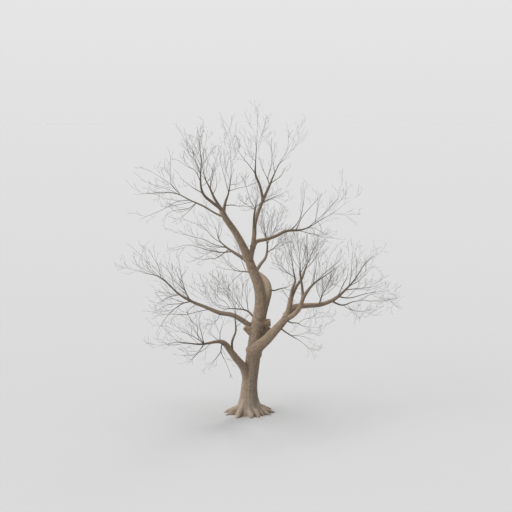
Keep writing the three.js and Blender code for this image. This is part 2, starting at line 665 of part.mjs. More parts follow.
// A side twig's solid is a straight spike from its foot to its tip.
function twigSolid({ points, radii }) {
  return solid(rod([points[0], points.at(-1)], [radii[0], 0], TWIG_SIDES));
}

// The stem and arms of each mass: what its twigs grow on, and what marks out its space.
function massSpines(limb, number) {
  const length = limb.path.getLength();
  const runs = limb.runs.length;
  const slim = limb.slim ?? SLIM;
  const stemRadius = (share) => {
    const whole = (limb.bare + (runs - limb.bare) * share) / runs;
    return Math.max(TWIG_TIP, limbRadius(limb, whole, whole * length) * (1 - share) ** slim);
  };
  const seed = childSeed(TREE_SEED, number);
  const spines = [spine(limb.path, limb.bare, stemRadius, seed)];
  limb.arms.forEach((arm, i) => {
    const path = pathAlong(pointAt(limb.path, arm.at), arm.runs);
    const share = (arm.at - limb.bare) / (runs - limb.bare);
    const foot = Math.min(CHILD_SHARE * stemRadius(share), ARM_FOOT + ARM_SLOPE * path.getLength());
    const armRadius = (part) => TWIG_TIP + (foot - TWIG_TIP) * (1 - part);
    spines.push(spine(path, 0, armRadius, childSeed(seed, i + ARM_SEEDS)));
  });
  return spines;
}

// ---- The tree ----

TRUNK.path = pathAlong(new THREE.Vector3(), TRUNK.runs);
const byName = { trunk: TRUNK };
for (const limb of [...LIMBS, ...STUBS]) {
  limb.path = pathAlong(pointAt(byName[limb.on].path, limb.at), limb.runs);
  limb.tip ??= TWIG_TIP;
  byName[limb.name] = limb;
}

const tree = new THREE.Group();

// Adds a solid to the tree as a named mesh that stands at its own foot.
function addPiece(name, body, finish, foot) {
  const { vertProperties, triVerts } = body.getMesh();
  const geometry = new THREE.BufferGeometry();
  geometry.setAttribute("position", new THREE.Float32BufferAttribute(vertProperties, 3));
  geometry.setIndex(Array.from(triVerts));
  geometry.translate(-foot.x, -foot.y, -foot.z);
  geometry.computeVertexNormals();
  const mesh = new THREE.Mesh(geometry, new THREE.MeshStandardMaterial(finish));
  mesh.name = name;
  mesh.position.copy(foot);
  tree.add(mesh);
}

addPiece("trunk", trunkSolid(), FINISHES.trunk, TRUNK.path.points[0]);

// Each bough and stub is cut clear of the trunk and of the limbs before it that it meets.
const cutters = [trunkSolid(GAP)];
for (const limb of [...LIMBS, ...STUBS]) {
  const body = largest(boughSolid(limb).subtract(wasm.Manifold.union(cutters)));
  const finish = STUBS.includes(limb) ? FINISHES.stub : FINISHES.bough;
  addPiece(limb.name, body, finish, limb.path.points[0]);
  cutters.push(boughSolid(limb, GAP));
}

// The places that a twig keeps away from: the limbs' middle lines, and the other masses' spines.
const limbPlaces = [TRUNK, ...LIMBS, ...STUBS].flatMap((limb) => {
  const { points, radii } = limbRings(limb, 0, limb.bare ?? limb.runs.length, TEST_RINGS);
  const least = limb === TRUNK ? TRUNK_GIRTH : 0;
  return points.map((point, i) => ({ point, radius: Math.max(radii[i], least) }));
});
const masses = LIMBS.filter((limb) => limb.arms).map((limb, number) => {
  const spines = massSpines(limb, number);
  return { limb, spines, places: spines.flatMap(({ points }) => [points[0], ...testPlaces(points)]) };
});

// Whether a twig stays in its mass's own space and clear of every limb.
function hasRoom(twig, mass) {
  const radius = twig.radii[0];
  return testPlaces(twig.points).every((place) => {
    const own = nearest(place, mass.places) + KEEP_AWAY;
    return place.z > LOWEST
      && limbPlaces.every((limb) => limb.point.distanceTo(place) > limb.radius + radius + LIMB_CLEAR)
      && masses.every((other) => other === mass || nearest(place, other.places) > own);
  });
}

for (const mass of masses) {
  const { limb, spines } = mass;
  const [stem] = spines;
  const onward = stem.points[1].clone().sub(stem.points[0]).normalize();
  stem.points[0].addScaledVector(onward, GAP);
  const bodies = spines.map(({ points, radii }, i) =>
    solid(rod(points, radii, i === 0 ? STEM_SIDES : TWIG_SIDES)));
  for (const parent of spines) {
    const twigs = sideTwigs(parent, 0, limb.twiggy).filter((side) => hasRoom(side, mass));
    for (const twig of twigs) {
      bodies.push(twigSolid(twig));
      for (const small of sideTwigs(twig, 1).filter((side) => hasRoom(side, mass))) {
        bodies.push(twigSolid(small));
      }
    }
  }
  const grown = wasm.Manifold.union(bodies).subtract(boughSolid(limb, GAP));
  addPiece(`${limb.name}_twigs`, largest(grown), FINISHES.twigs, stem.points[0]);
}

export default tree;
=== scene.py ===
# %% [markdown]
# # A dead tree
# A bare, dead, broad-leaved tree, about twelve metres high, rooted in level ground. The packed
# model gives the frame: a trunk, boughs, sawn-off stubs and masses of twigs, all in metres with
# +Z up. Everything here is laid over that frame and takes its place: wood with a real surface,
# and a crown carried on to its finest twigs.

import math
from collections import namedtuple

import bpy
import numpy as np
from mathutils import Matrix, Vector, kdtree, noise


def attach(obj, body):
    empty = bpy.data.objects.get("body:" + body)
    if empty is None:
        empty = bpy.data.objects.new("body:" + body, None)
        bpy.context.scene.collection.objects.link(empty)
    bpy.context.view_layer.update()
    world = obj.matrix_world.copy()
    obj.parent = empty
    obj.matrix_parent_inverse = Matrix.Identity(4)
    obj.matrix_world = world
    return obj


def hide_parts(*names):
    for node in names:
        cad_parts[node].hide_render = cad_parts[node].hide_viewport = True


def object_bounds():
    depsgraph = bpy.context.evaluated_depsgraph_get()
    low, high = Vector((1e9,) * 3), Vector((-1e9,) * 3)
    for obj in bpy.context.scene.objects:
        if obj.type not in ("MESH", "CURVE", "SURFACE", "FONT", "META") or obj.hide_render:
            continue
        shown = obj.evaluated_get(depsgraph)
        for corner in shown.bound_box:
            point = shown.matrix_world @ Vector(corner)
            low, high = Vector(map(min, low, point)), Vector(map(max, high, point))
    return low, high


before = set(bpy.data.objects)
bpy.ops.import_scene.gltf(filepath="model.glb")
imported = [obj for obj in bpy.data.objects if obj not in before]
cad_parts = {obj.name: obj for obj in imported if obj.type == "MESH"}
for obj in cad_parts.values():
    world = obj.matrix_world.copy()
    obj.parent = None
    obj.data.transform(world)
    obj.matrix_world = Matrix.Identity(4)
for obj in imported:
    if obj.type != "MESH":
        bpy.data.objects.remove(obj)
cad_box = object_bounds()
print("frame nodes", len(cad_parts), "box", [tuple(corner) for corner in cad_box])

# %% [markdown]
# ## The camera
# A long lens far away shows the tree with little perspective, a little from above, so that the
# floor shows as a plain field behind it. The trunk's foot stands left of the middle.

# %% Add the camera
CAMERA_PLACE = (0.27, -45.85, 11.41)
CAMERA_DIP = 6.6  # degrees that it looks down
CAMERA_LENS = 85
CAMERA_SENSOR = 36
CAMERA_REACH = 2000  # distance past which nothing is drawn

bpy.ops.object.select_all(action="DESELECT")
bpy.ops.object.camera_add(
    location=CAMERA_PLACE,
    rotation=(math.radians(90 - CAMERA_DIP), 0, 0),
)
camera = bpy.context.object
camera.data.lens = CAMERA_LENS
camera.data.sensor_width = CAMERA_SENSOR
camera.data.clip_end = CAMERA_REACH
bpy.context.scene.camera = camera
bpy.context.scene.view_settings.view_transform = "Standard"
print("camera at", CAMERA_PLACE, "with a lens of", CAMERA_LENS, "mm")

# %% [markdown]
# ## The light
# A studio with white walls lights a subject from all sides, which a pale world does here. Wide
# suns add the soft lamps. One almost overhead lays the faint shadow of the crown round the foot.
# A smaller one from behind lays the trunk's streak towards the front, and a low one from the left
# front models the trunk. A sun lights every part of a tall tree alike, where an area lamp would
# fade towards the ground.

# %% Add the lamps
SUNS = {
    # name: (height above the horizon, bearing it comes from, strength, width), angles in degrees
    "lamp_overhead": (80, 112, 3.1, 44),
    "lamp_behind": (50, 66, 1.1, 16),
    "lamp_left": (18, 204, 2.9, 60),
}
SUN_PLACE = (0, 0, 20)  # a sun shines the same from any place


def add_sun(name, height, bearing, strength, width):
    """A sun that shines from a height and a bearing, which turns from +X to +Y."""
    bpy.ops.object.light_add(type="SUN", location=SUN_PLACE)
    sun = bpy.context.object
    sun.name = name
    sun.rotation_euler = (0, math.radians(90 - height), math.radians(bearing))
    sun.data.energy = strength
    sun.data.angle = math.radians(width)


for name, setting in SUNS.items():
    add_sun(name, *setting)
print(len(SUNS), "lamps")

# %% [markdown]
# The world is pale near the horizon, where it is seen behind the tree, and darker higher up, so
# that most of the light comes from the lamps.

# %% Shade the world
# Sine of the height above the horizon, and the brightness there
WORLD = [(0.0, 0.7525), (0.12, 0.80), (0.30, 0.36)]

world = bpy.data.worlds.new("studio")
bpy.context.scene.world = world
world.use_nodes = True
nodes, links = world.node_tree.nodes, world.node_tree.links
place = nodes.new("ShaderNodeTexCoord")
height = nodes.new("ShaderNodeSeparateXYZ")
shade = nodes.new("ShaderNodeValToRGB")
shade.color_ramp.elements.remove(shade.color_ramp.elements[1])
for i, (sine, level) in enumerate(WORLD):
    stop = shade.color_ramp.elements[0] if i == 0 else shade.color_ramp.elements.new(sine)
    stop.position = sine
    stop.color = (level, level, level, 1)
links.new(place.outputs["Generated"], height.inputs[0])
links.new(height.outputs["Z"], shade.inputs["Fac"])
links.new(shade.outputs["Color"], nodes["Background"].inputs["Color"])
print("world brightness", WORLD)

# %% [markdown]
# ## The floor
# A wide pale disc, so wide that its edge lies at the horizon from every side. It is a little
# darker near the tree than far off.

# %% Lay the floor
FLOOR_RADIUS = 1800
FLOOR_SIDES = 96
FLOOR_NEAR = 0.36  # brightness at the tree, and far off
FLOOR_FAR = 0.392
FLOOR_HALF_WAY = 40  # distance from the tree where it is half way from near to far

bpy.ops.object.select_all(action="DESELECT")
bpy.ops.mesh.primitive_circle_add(vertices=FLOOR_SIDES, radius=FLOOR_RADIUS, fill_type="NGON")
floor = bpy.context.object
floor.name = "studio_floor"
floor_paint = bpy.data.materials.new("pale_floor")
floor_paint.use_nodes = True
nodes, links = floor_paint.node_tree.nodes, floor_paint.node_tree.links
place = nodes.new("ShaderNodeTexCoord")
reach = nodes.new("ShaderNodeVectorMath")
reach.operation = "LENGTH"
beyond = nodes.new("ShaderNodeMath")
beyond.operation = "ADD"
beyond.inputs[1].default_value = FLOOR_HALF_WAY
share = nodes.new("ShaderNodeMath")
share.operation = "DIVIDE"
shade = nodes.new("ShaderNodeMapRange")
shade.inputs["To Min"].default_value = FLOOR_NEAR
shade.inputs["To Max"].default_value = FLOOR_FAR
links.new(place.outputs["Object"], reach.inputs[0])
links.new(reach.outputs["Value"], beyond.inputs[0])
links.new(reach.outputs["Value"], share.inputs[0])
links.new(beyond.outputs["Value"], share.inputs[1])
links.new(share.outputs["Value"], shade.inputs["Value"])
links.new(shade.outputs["Result"], nodes["Principled BSDF"].inputs["Base Color"])
nodes["Principled BSDF"].inputs["Roughness"].default_value = 1.0
nodes["Principled BSDF"].inputs["Specular IOR Level"].default_value = 0.0
floor.data.materials.append(floor_paint)
print("floor radius", FLOOR_RADIUS)

# %% [markdown]
# ## Paths
# Every limb follows a path, given as runs: a length, a bearing and a rise. Bearings turn from +X
# (0) to +Y (90), and a rise of 90 is straight up. The limb itself is the smooth curve through the
# ends of the runs, and a place on it counts runs, so 2.5 is half way along the third.

# %% Helpers for paths
LENGTH_STEPS = 200  # pieces that a curve is measured in


def run_vector(run):
    """A run's vector."""
    length, bearing, rise = run
    turn = math.radians(bearing)
    climb = math.radians(rise)
    level = length * math.cos(climb)
    return np.array([level * math.cos(turn), level * math.sin(turn), length * math.sin(climb)])


def path_along(start, runs):
    """The corners of a path that starts at a point and follows its runs."""
    return np.cumsum([start, *map(run_vector, runs)], axis=0)


def points_at(path, places):
    """Points of the smooth curve through a path's corners. The corners may hold anything that
    changes along the path, such as a radius."""
    last = len(path) - 1
    wide = np.concatenate([[2 * path[0] - path[1]], path, [2 * path[-1] - path[-2]]])
    places = np.clip(np.asarray(places, dtype=float), 0, last)
    first = np.minimum(places.astype(int), last - 1)
    part = (places - first).reshape((-1,) + (1,) * (path.ndim - 1))
    before, start, end, after = (wide[first + i] for i in range(4))
    leaving = (end - before) / 2
    arriving = (after - start) / 2
    cubic = 2 * start - 2 * end + leaving + arriving
    square = 3 * end - 3 * start - 2 * leaving - arriving
    return ((cubic * part + square) * part + leaving) * part + start


def point_at(path, place):
    """One point of the curve."""
    return points_at(path, [place])[0]


def path_length(path):
    """Length of the curve."""
    points = points_at(path, np.linspace(0, len(path) - 1, LENGTH_STEPS + 1))
    return np.linalg.norm(np.diff(points, axis=0), axis=1).sum()


print("a level run of a metre at bearing 90:", run_vector((1, 90, 0)).round(3))

# %% [markdown]
# ## The trunk's sizes
# The shaft tapers slowly up to the fork. Near the ground it flares out, and roots run down the
# flare as ribs and end as toes on the ground. The stations of a rib give its share of the reach
# and of the height where it leaves the shaft, and its radius.

# %% The trunk's sizes
TRUNK = dict(
    name="trunk",
    foot=0.32,
    tip=0.14,
    runs=[(1.1, 0, 89), (0.95, -5, 83), (1.15, 0, 82), (1.05, 10, 81), (0.75, -160, 84),
          (0.75, -170, 68), (0.5, -170, 72)],
)
TRUNK_TAPER = 0.7  # below 1 the shaft stays thick for longer
FLARE_SPREAD = 0.39  # added to the shaft's radius at the ground
FLARE_HEIGHT = 0.3  # height over which the flare dies away
ROOT_COUNT = 12
ROOT_REACH = 1.05  # how far the roots run out from the trunk's middle
ROOT_TOP = 1.25  # height where they leave the shaft
ROOT_SEED = 11
ROOT_RIB = np.array([
    (0.20, 1, 0.03),
    (0.26, 0.55, 0.05),
    (0.38, 0.22, 0.09),
    (0.60, 0.08, 0.115),
    (0.83, 0.02, 0.08),
    (1, -0.02, 0.03),
])
TRUNK["path"] = path_along(np.zeros(3), TRUNK["runs"])


def trunk_radius(share, height):
    """Radius of the shaft, with its flare."""
    shaft = TRUNK["tip"] + (TRUNK["foot"] - TRUNK["tip"]) * (1 - share) ** TRUNK_TAPER
    return shaft + FLARE_SPREAD * np.exp(-height / FLARE_HEIGHT)


print("trunk length", round(path_length(TRUNK["path"]), 2))

# %% [markdown]
# ## The limbs
# One row for each limb: what it grows on and where, the radius of its foot, and its runs. It may
# give the radius of its tip too. Up to its place `bare` a limb is a clean bough. From there on it
# is the stem of a mass of twigs, with the mass's main arms: `slim` says how fast that stem thins
# out, and `twiggy` how many more or fewer twigs the mass has than the rule gives. The three stubs
# are boughs that were sawn off.

# %% The limbs' sizes
LIMBS = [
    # Left side, from the lowest bough up.
    dict(name="low_left_bough", on="trunk", at=1.0, foot=0.165, bare=4.4, tip=0.015,
         slim=1.3, twiggy=0.85,
         runs=[(0.8, -135, 65), (0.55, -145, 50), (0.4, -140, 50), (0.45, -130, 45),
               (0.35, -140, 20), (0.85, -140, 0), (1.05, -145, 10), (1.15, -140, -5)],
         arms=[
             (4.5, [(0.4, -130, -75), (0.4, -165, -50), (0.5, -150, -35)]),
             (4.5, [(0.4, -100, -65), (0.45, -45, -55), (0.7, -50, -55)]),
             (4.8, [(0.5, -85, 55), (0.8, -70, 50)]),
             (4.8, [(0.35, 145, 30), (0.65, 130, 30)]),
             (5.8, [(0.45, 140, 45), (0.3, 110, 75), (0.5, 145, 40), (0.4, 110, 55)]),
             (5.8, [(0.55, -140, 35), (0.7, -130, 25), (0.6, -125, 35)]),
             (5.8, [(0.7, -105, 55), (0.85, -100, 50)]),
             (5.8, [(0.75, -110, -20), (0.7, -115, -20)]),
         ]),
    dict(name="low_left_riser", on="low_left_bough", at=2.6, foot=0.05, bare=2.2, twiggy=1.6,
         runs=[(0.45, -100, 85), (0.45, 25, 70), (0.5, 100, 70), (0.45, 85, 75), (0.85, -115, 80)],
         arms=[
             (2.3, [(0.35, -55, 30), (0.6, -60, 35)]),
             (3.4, [(0.8, -115, 50), (0.75, -120, 40)]),
         ]),
    dict(name="mid_left_bough", on="trunk", at=2.9, foot=0.115, bare=3.9, tip=0.025,
         slim=0.4, twiggy=1.1,
         runs=[(0.45, 150, 45), (0.4, 150, 30), (0.45, 150, 20), (0.55, 155, 5), (0.65, 150, 15),
               (0.7, 150, 15), (0.65, 155, 25), (1, 150, 35), (0.85, 150, 10)],
         arms=[
             (4.0, [(0.35, -105, -40), (0.65, -145, -20)]),
             (5.6, [(0.45, -135, -25), (0.45, -110, -40)]),
             (6.0, [(0.4, -150, -10), (0.55, -140, -25), (0.55, -140, -40), (0.65, -135, -50)]),
             (6.0, [(0.4, 165, -15), (0.75, 150, -10), (0.65, 150, -30)]),
             (6.1, [(0.6, -120, 50), (0.6, -135, 40), (0.7, -145, 55)]),
             (6.1, [(0.55, 135, 55), (0.7, 115, 55), (0.8, 115, 70)]),
             (6.9, [(0.5, 150, -15), (0.55, 135, -25), (0.55, 140, -30)]),
             (8.0, [(0.45, -130, 75), (0.4, -155, 60), (0.45, -160, 60)]),
             (8.1, [(0.5, 135, 30), (0.65, 135, 40), (0.55, 140, 30)]),
             (8.6, [(0.75, 150, 10), (0.8, 155, 10)]),
         ]),
    dict(name="mid_left_sprig", on="trunk", at=3.2, foot=0.045, bare=1.5, twiggy=1.6,
         runs=[(0.55, 120, 40), (0.45, 130, 20), (0.6, 145, 0), (0.65, 135, -5), (0.75, 145, 25),
               (1, 140, 25)],
         arms=[
             (1.6, [(0.4, 105, 55), (0.5, 100, 55), (0.55, 80, 50)]),
             (2.1, [(0.55, -125, 45), (0.45, -150, 65), (0.55, -105, 70)]),
             (2.8, [(0.55, 120, 40), (0.65, 125, 25), (0.7, 120, 40)]),
             (3.2, [(0.4, -150, 50), (0.35, -140, 25), (0.5, -95, 70), (0.6, -60, 80)]),
             (4.6, [(0.55, -155, 60), (0.65, -145, 60)]),
         ]),
    # Right side. The largest bough leaves the front of the trunk and forks twice.
    dict(name="right_bough", on="trunk", at=2.3, foot=0.225, tip=0.08,
         runs=[(0.4, -55, 40), (0.55, -35, 40), (0.6, -40, 45), (0.5, -40, 45), (0.5, -50, 55),
               (0.5, 10, 80)]),
    dict(name="right_inner_riser", on="right_bough", at=5.9, foot=0.055, bare=2.3, twiggy=3.5,
         runs=[(0.4, 15, 80), (0.3, 45, 60), (0.4, 125, 75), (0.45, 135, 75), (1.1, 115, 55)],
         arms=[
             (2.4, [(0.75, -130, 30), (0.9, -115, 30)]),
         ]),
    dict(name="right_cross_riser", on="right_bough", at=5.9, foot=0.065, bare=2.7, twiggy=3,
         runs=[(0.55, 45, 55), (0.45, 50, 40), (0.5, 65, 45), (0.55, 55, 50), (1.15, 55, 50)],
         arms=[
             (2.8, [(0.65, -50, 40), (0.95, -70, 40)]),
         ]),
    dict(name="right_outer_bough", on="right_bough", at=4.5, foot=0.12, bare=4.3, twiggy=0.85,
         runs=[(0.45, -10, 50), (0.5, 20, 5), (0.6, 25, 0), (0.55, 25, 15), (0.6, 40, 25),
               (0.75, 40, 35), (0.9, 40, 45), (0.75, 40, 25)],
         arms=[
             (4.5, [(0.5, -35, 65), (0.4, -55, 55), (0.55, -75, 65)]),
             (4.5, [(0.6, 35, -10), (1, 40, 5), (1.05, 35, 0)]),
             (5.2, [(0.5, -30, 10), (0.75, -50, 10), (0.75, -45, 20)]),
             (5.5, [(0.55, -80, 55), (0.6, -90, 60), (0.9, -85, 65)]),
             (5.5, [(0.55, 45, 15), (0.6, 55, 20), (0.65, 50, 25)]),
         ]),
    dict(name="right_far_limb", on="right_outer_bough", at=3.9, foot=0.035, bare=1.6,
         twiggy=2.5,
         runs=[(0.25, 15, -30), (0.3, 30, -15), (0.45, 35, 10), (0.5, 35, 5), (0.6, 45, 15),
               (1.3, 45, -5)],
         arms=[
             (2.0, [(0.4, -60, -15), (0.45, -55, 0), (0.95, -55, 0)]),
             (2.4, [(0.5, 45, -40), (0.45, 60, -35)]),
             (3.9, [(0.55, 35, -10), (0.85, 40, 0), (0.6, 40, -35)]),
         ]),
    dict(name="right_outer_riser", on="right_outer_bough", at=2.9, foot=0.025, bare=0.4,
         twiggy=4,
         runs=[(0.55, -60, 60), (0.55, -40, 55), (0.8, -30, 65)],
         arms=[
             (0.5, [(0.55, 80, 25), (0.65, 65, 25), (0.6, 60, 45)]),
             (0.5, [(0.65, -110, 40), (0.75, -95, 50), (0.75, -80, 50)]),
             (0.7, [(0.55, 45, 20), (0.6, 25, 45), (0.45, 50, 55)]),
         ]),
    dict(name="right_middle_bough", on="right_bough", at=4.2, foot=0.105, bare=3.1,
         slim=1.6, twiggy=0.4,
         runs=[(0.45, -45, 25), (0.45, -35, 45), (0.55, -55, 60), (0.7, -50, 45), (0.6, -35, 35),
               (0.8, -50, 30), (0.95, -55, 35)],
         arms=[
             (4.0, [(0.55, -85, 50), (0.65, -85, 45), (0.6, -95, 55)]),
             (4.1, [(0.65, 35, 35), (0.75, 45, 25), (0.6, 50, 35)]),
             (5.0, [(0.75, -80, 50), (0.65, -55, 60)]),
             (5.0, [(0.9, -75, -10), (0.8, -60, -10)]),
         ]),
    dict(name="right_middle_riser", on="right_middle_bough", at=2.8, foot=0.055, bare=1.9,
         twiggy=2.6,
         runs=[(0.45, -170, 85), (0.5, -150, 80), (0.55, -95, 70), (1.2, -105, 65)],
         arms=[
             (2.0, [(0.75, -65, 45), (1, -90, 40)]),
         ]),
    dict(name="right_low_sprig", on="right_bough", at=3.3, foot=0.035, bare=1.7,
         runs=[(0.3, -40, -25), (0.45, -45, -20), (0.45, -40, -20), (1.05, -50, -25)],
         arms=[
             (1.8, [(0.8, -55, 5), (0.75, -55, -5)]),
         ]),
    dict(name="right_low_twig", on="right_bough", at=4.2, foot=0.03, bare=1.6,
         runs=[(0.4, -55, -10), (0.5, -60, 5), (0.5, -60, -5), (1.2, -55, 5)],
         arms=[
             (2.0, [(0.35, -45, 30), (0.45, -40, 20), (0.4, -55, 30), (0.7, -55, 5)]),
             (2.9, [(0.55, -70, -10), (0.75, -65, -5)]),
         ]),
    # Behind the trunk, a thick bough that swells past its right edge and then runs back.
    dict(name="back_bough", on="trunk", at=3.2, foot=0.205, tip=0.1,
         runs=[(0.55, 60, 55), (0.55, 65, 50), (0.5, 75, 40), (0.5, 95, 30), (0.65, 105, 15),
               (0.7, 115, 10)]),
    dict(name="back_riser", on="back_bough", at=6.0, foot=0.075, bare=2.2, twiggy=3.5,
         runs=[(0.45, 55, 40), (0.75, 70, 20), (0.6, 80, 60), (0.7, 110, 60), (1.15, 100, 55)],
         arms=[
             (2.3, [(0.7, 50, 20), (1.1, 55, 20)]),
             (2.9, [(0.65, -5, 65), (0.85, 30, 60)]),
         ]),
    dict(name="back_left_limb", on="back_bough", at=5.3, foot=0.04, bare=1.9,
         runs=[(0.85, 110, 0), (0.6, 120, 0), (0.65, 135, 0), (0.7, 125, 20), (1.05, 130, 20)],
         arms=[
             (2.0, [(0.85, 110, 35), (1.05, 105, 40)]),
             (2.3, [(0.95, 120, -30), (0.9, 130, -45)]),
         ]),
    dict(name="back_right_limb", on="back_bough", at=3.5, foot=0.035, bare=1.8, twiggy=2,
         runs=[(0.55, 65, -20), (0.65, 60, 0), (0.9, 65, 0), (1.25, 65, 15)],
         arms=[
             (2.0, [(0.65, 55, -40), (0.9, 60, -35)]),
         ]),
    # Above the fork, the left leader and what it carries.
    dict(name="left_leader", on="trunk", at=6.8, foot=0.145, tip=0.095,
         runs=[(0.65, -140, 60), (0.6, -140, 55), (0.65, -140, 50), (0.45, -130, 55)]),
    dict(name="left_front_limb", on="left_leader", at=4.0, foot=0.06, bare=2.2, tip=0.012,
         slim=0.5, twiggy=0.7,
         runs=[(0.65, -120, 25), (0.6, -125, 30), (0.5, -105, 40), (0.6, -90, 50), (0.75, -85, 55),
               (1.25, -100, 60)],
         arms=[
             (2.3, [(0.7, -120, 20), (0.9, -120, 25)]),
             (3.5, [(0.65, -110, 40), (0.5, -125, 20), (0.6, -125, 25)]),
             (4.0, [(0.7, -105, 45), (0.6, -110, 25), (0.7, -110, 45)]),
             (4.6, [(0.55, 145, 55), (0.45, 155, 50), (0.65, 140, 55)]),
             (5.0, [(0.55, -65, 50), (0.75, -75, 50)]),
         ]),
    dict(name="left_middle_limb", on="left_leader", at=4.0, foot=0.055, bare=1.3, twiggy=1.0,
         runs=[(0.5, -150, 55), (0.4, -155, 65), (0.6, -120, 50), (0.65, 170, 80), (0.8, 120, 75)],
         arms=[
             (1.4, [(0.5, 70, 40), (0.55, 100, 60)]),
             (2.0, [(0.5, 80, 50), (0.55, 75, 55), (0.6, 65, 60)]),
             (2.8, [(0.55, -80, 55), (0.65, -75, 60)]),
             (3.1, [(0.7, 130, 40), (0.8, 125, 35)]),
         ]),
    dict(name="left_inner_limb", on="left_leader", at=3.5, foot=0.06, bare=0.7, twiggy=1.8,
         runs=[(0.4, 55, 75), (0.4, 45, 65), (0.5, 70, 65), (0.6, 75, 80), (1.6, 100, 65)],
         arms=[
             (0.8, [(0.5, -55, 5), (0.65, -60, 0), (0.65, -60, 15)]),
             (2.1, [(0.5, -110, 55), (0.5, -110, 55), (0.8, -110, 55)]),
             (2.2, [(0.5, -45, 15), (0.7, -55, 10), (0.65, -60, 15)]),
             (2.7, [(0.5, 40, 10), (0.6, 55, 35)]),
             (4.1, [(0.35, 50, 40), (0.7, 70, 50)]),
         ]),
    dict(name="left_reach_limb", on="left_leader", at=3.1, foot=0.038, bare=1.9, tip=0.012,
         slim=0.6, twiggy=0.55,
         runs=[(0.45, 155, 20), (0.6, 150, 25), (0.6, 155, 20), (0.6, 145, 20), (0.6, 150, 5),
               (0.65, 160, -5), (0.65, 165, -5)],
         arms=[
             (2.5, [(0.5, 130, -35), (0.55, 140, -35), (0.55, 140, -25)]),
             (2.5, [(0.4, -150, -30), (0.4, -155, -5), (0.45, -135, -10), (0.5, -135, -35)]),
             (3.0, [(0.55, -150, -5), (0.7, -135, -20), (0.7, -135, -15), (0.5, -130, -15)]),
             (3.8, [(0.55, 145, 40), (0.45, 150, 30), (0.6, 145, 25), (0.35, 145, 25)]),
             (3.8, [(0.55, -170, 50), (0.5, -90, 70), (0.7, -85, 60)]),
             (4.0, [(0.6, -125, 20), (0.6, -145, 15), (0.75, -135, 20)]),
         ]),
    # A limb from the left of the trunk, just under the fork.
    dict(name="mid_left_limb", on="trunk", at=6.1, foot=0.075, bare=1.9, twiggy=0.6,
         runs=[(0.4, 150, 40), (0.55, 145, 25), (0.55, 130, 20), (0.45, 135, 35), (0.65, 110, 45),
               (1.1, 130, 45)],
         arms=[
             (2.1, [(0.6, 155, -5), (0.7, 140, 5), (0.8, 155, 10), (0.8, 155, -15)]),
             (2.5, [(0.75, 140, -30), (0.6, 135, -10), (0.55, 145, -20)]),
             (2.8, [(0.6, -145, 15), (0.55, -145, 25), (0.6, -150, 15), (0.6, -150, 15)]),
             (3.3, [(0.65, 140, 25), (0.6, 135, 35), (0.55, 150, 15), (0.5, 140, 15)]),
             (4.0, [(0.5, 75, 45), (0.65, 120, 45)]),
         ]),
    # Above the fork, the right leader and what it carries.
    dict(name="right_leader", on="trunk", at=6.5, foot=0.105, bare=5.8, slim=1.5, twiggy=0.6,
         runs=[(0.5, 30, 75), (0.5, 60, 75), (0.5, 70, 80), (0.55, 45, 65), (0.5, 40, 60),
               (0.6, 40, 60), (0.6, 40, 60), (0.8, 35, 55), (1.4, 45, 50)],
         arms=[
             (5.9, [(0.5, 105, 35), (0.55, 120, 45), (0.55, 115, 55)]),
             (5.9, [(0.45, 100, 40), (0.65, 70, 50), (0.9, 95, 60)]),
             (6.0, [(0.5, -65, 20), (0.5, -65, 20), (0.6, -70, 35)]),
             (7.9, [(0.45, 45, 20), (0.5, 50, 40), (0.5, 45, 40)]),
         ]),
    dict(name="right_leader_riser", on="right_leader", at=4.8, foot=0.055, bare=2.0, twiggy=1.1,
         runs=[(0.55, -145, 75), (0.5, -145, 65), (0.5, -90, 65), (0.65, -45, 85), (1.4, -75, 80)],
         arms=[
             (2.1, [(0.55, -120, 35), (0.6, -130, 40), (0.55, -125, 40)]),
             (3.1, [(0.5, 115, 25), (0.6, 110, 35), (0.6, 115, 50)]),
             (3.8, [(0.6, -70, 35), (0.9, -70, 55)]),
         ]),
    dict(name="right_leader_spur", on="right_leader", at=2.4, foot=0.05, bare=1.7, twiggy=2.5,
         runs=[(0.5, -95, 65), (0.5, -80, 55), (0.35, -80, 45), (0.65, -75, 50)],
         arms=[
             (1.9, [(0.55, -120, 20), (0.9, -115, 20)]),
             (2.0, [(0.4, -165, 60), (0.45, 145, 70), (0.45, 135, 65)]),
             (2.1, [(0.5, -65, 25), (0.7, -65, 25), (0.6, -60, 10)]),
         ]),
    dict(name="upper_right_bough", on="right_leader", at=1.1, foot=0.08, bare=4.0,
         slim=1.6, twiggy=0.5,
         runs=[(0.35, 55, 35), (0.45, 45, 5), (0.5, 40, 10), (0.55, 30, 20), (0.65, 35, 0),
               (0.5, 40, 10), (0.65, 30, 25), (0.65, 40, 20), (0.75, 30, 30), (0.85, 35, 25)],
         arms=[
             (4.3, [(0.45, 40, 35), (0.5, 50, 55), (0.65, 55, 75), (0.55, 100, 70)]),
             (4.7, [(0.6, -40, 60), (0.5, -20, 50), (0.65, -35, 45)]),
             (5.8, [(0.55, 50, -5), (0.75, 60, -20), (0.8, 50, -20)]),
             (6.5, [(0.5, -80, 55), (0.5, -75, 70), (0.6, -115, 70)]),
             (7.8, [(0.6, -50, 55), (0.55, -55, 65), (0.55, -55, 70)]),
             (8.0, [(0.4, -25, -5), (0.6, -35, -20)]),
         ]),
    dict(name="right_leader_side", on="right_leader", at=4.6, foot=0.022, bare=1.0, twiggy=0.3,
         runs=[(0.4, 40, 15), (0.55, 45, 15), (1, 55, 10)],
         arms=[
             (1.2, [(0.95, 60, -20), (0.9, 65, -30)]),
         ]),
]
STUBS = [
    dict(name="stub_left", on="trunk", at=2.9, foot=0.18, tip=0.085, runs=[(0.55, -170, 32)]),
    dict(name="stub_right", on="trunk", at=3.3, foot=0.16, tip=0.125, runs=[(0.48, 0, 3)]),
    dict(name="stub_back", on="trunk", at=2.9, foot=0.16, tip=0.12, runs=[(0.6, 25, 15)]),
]
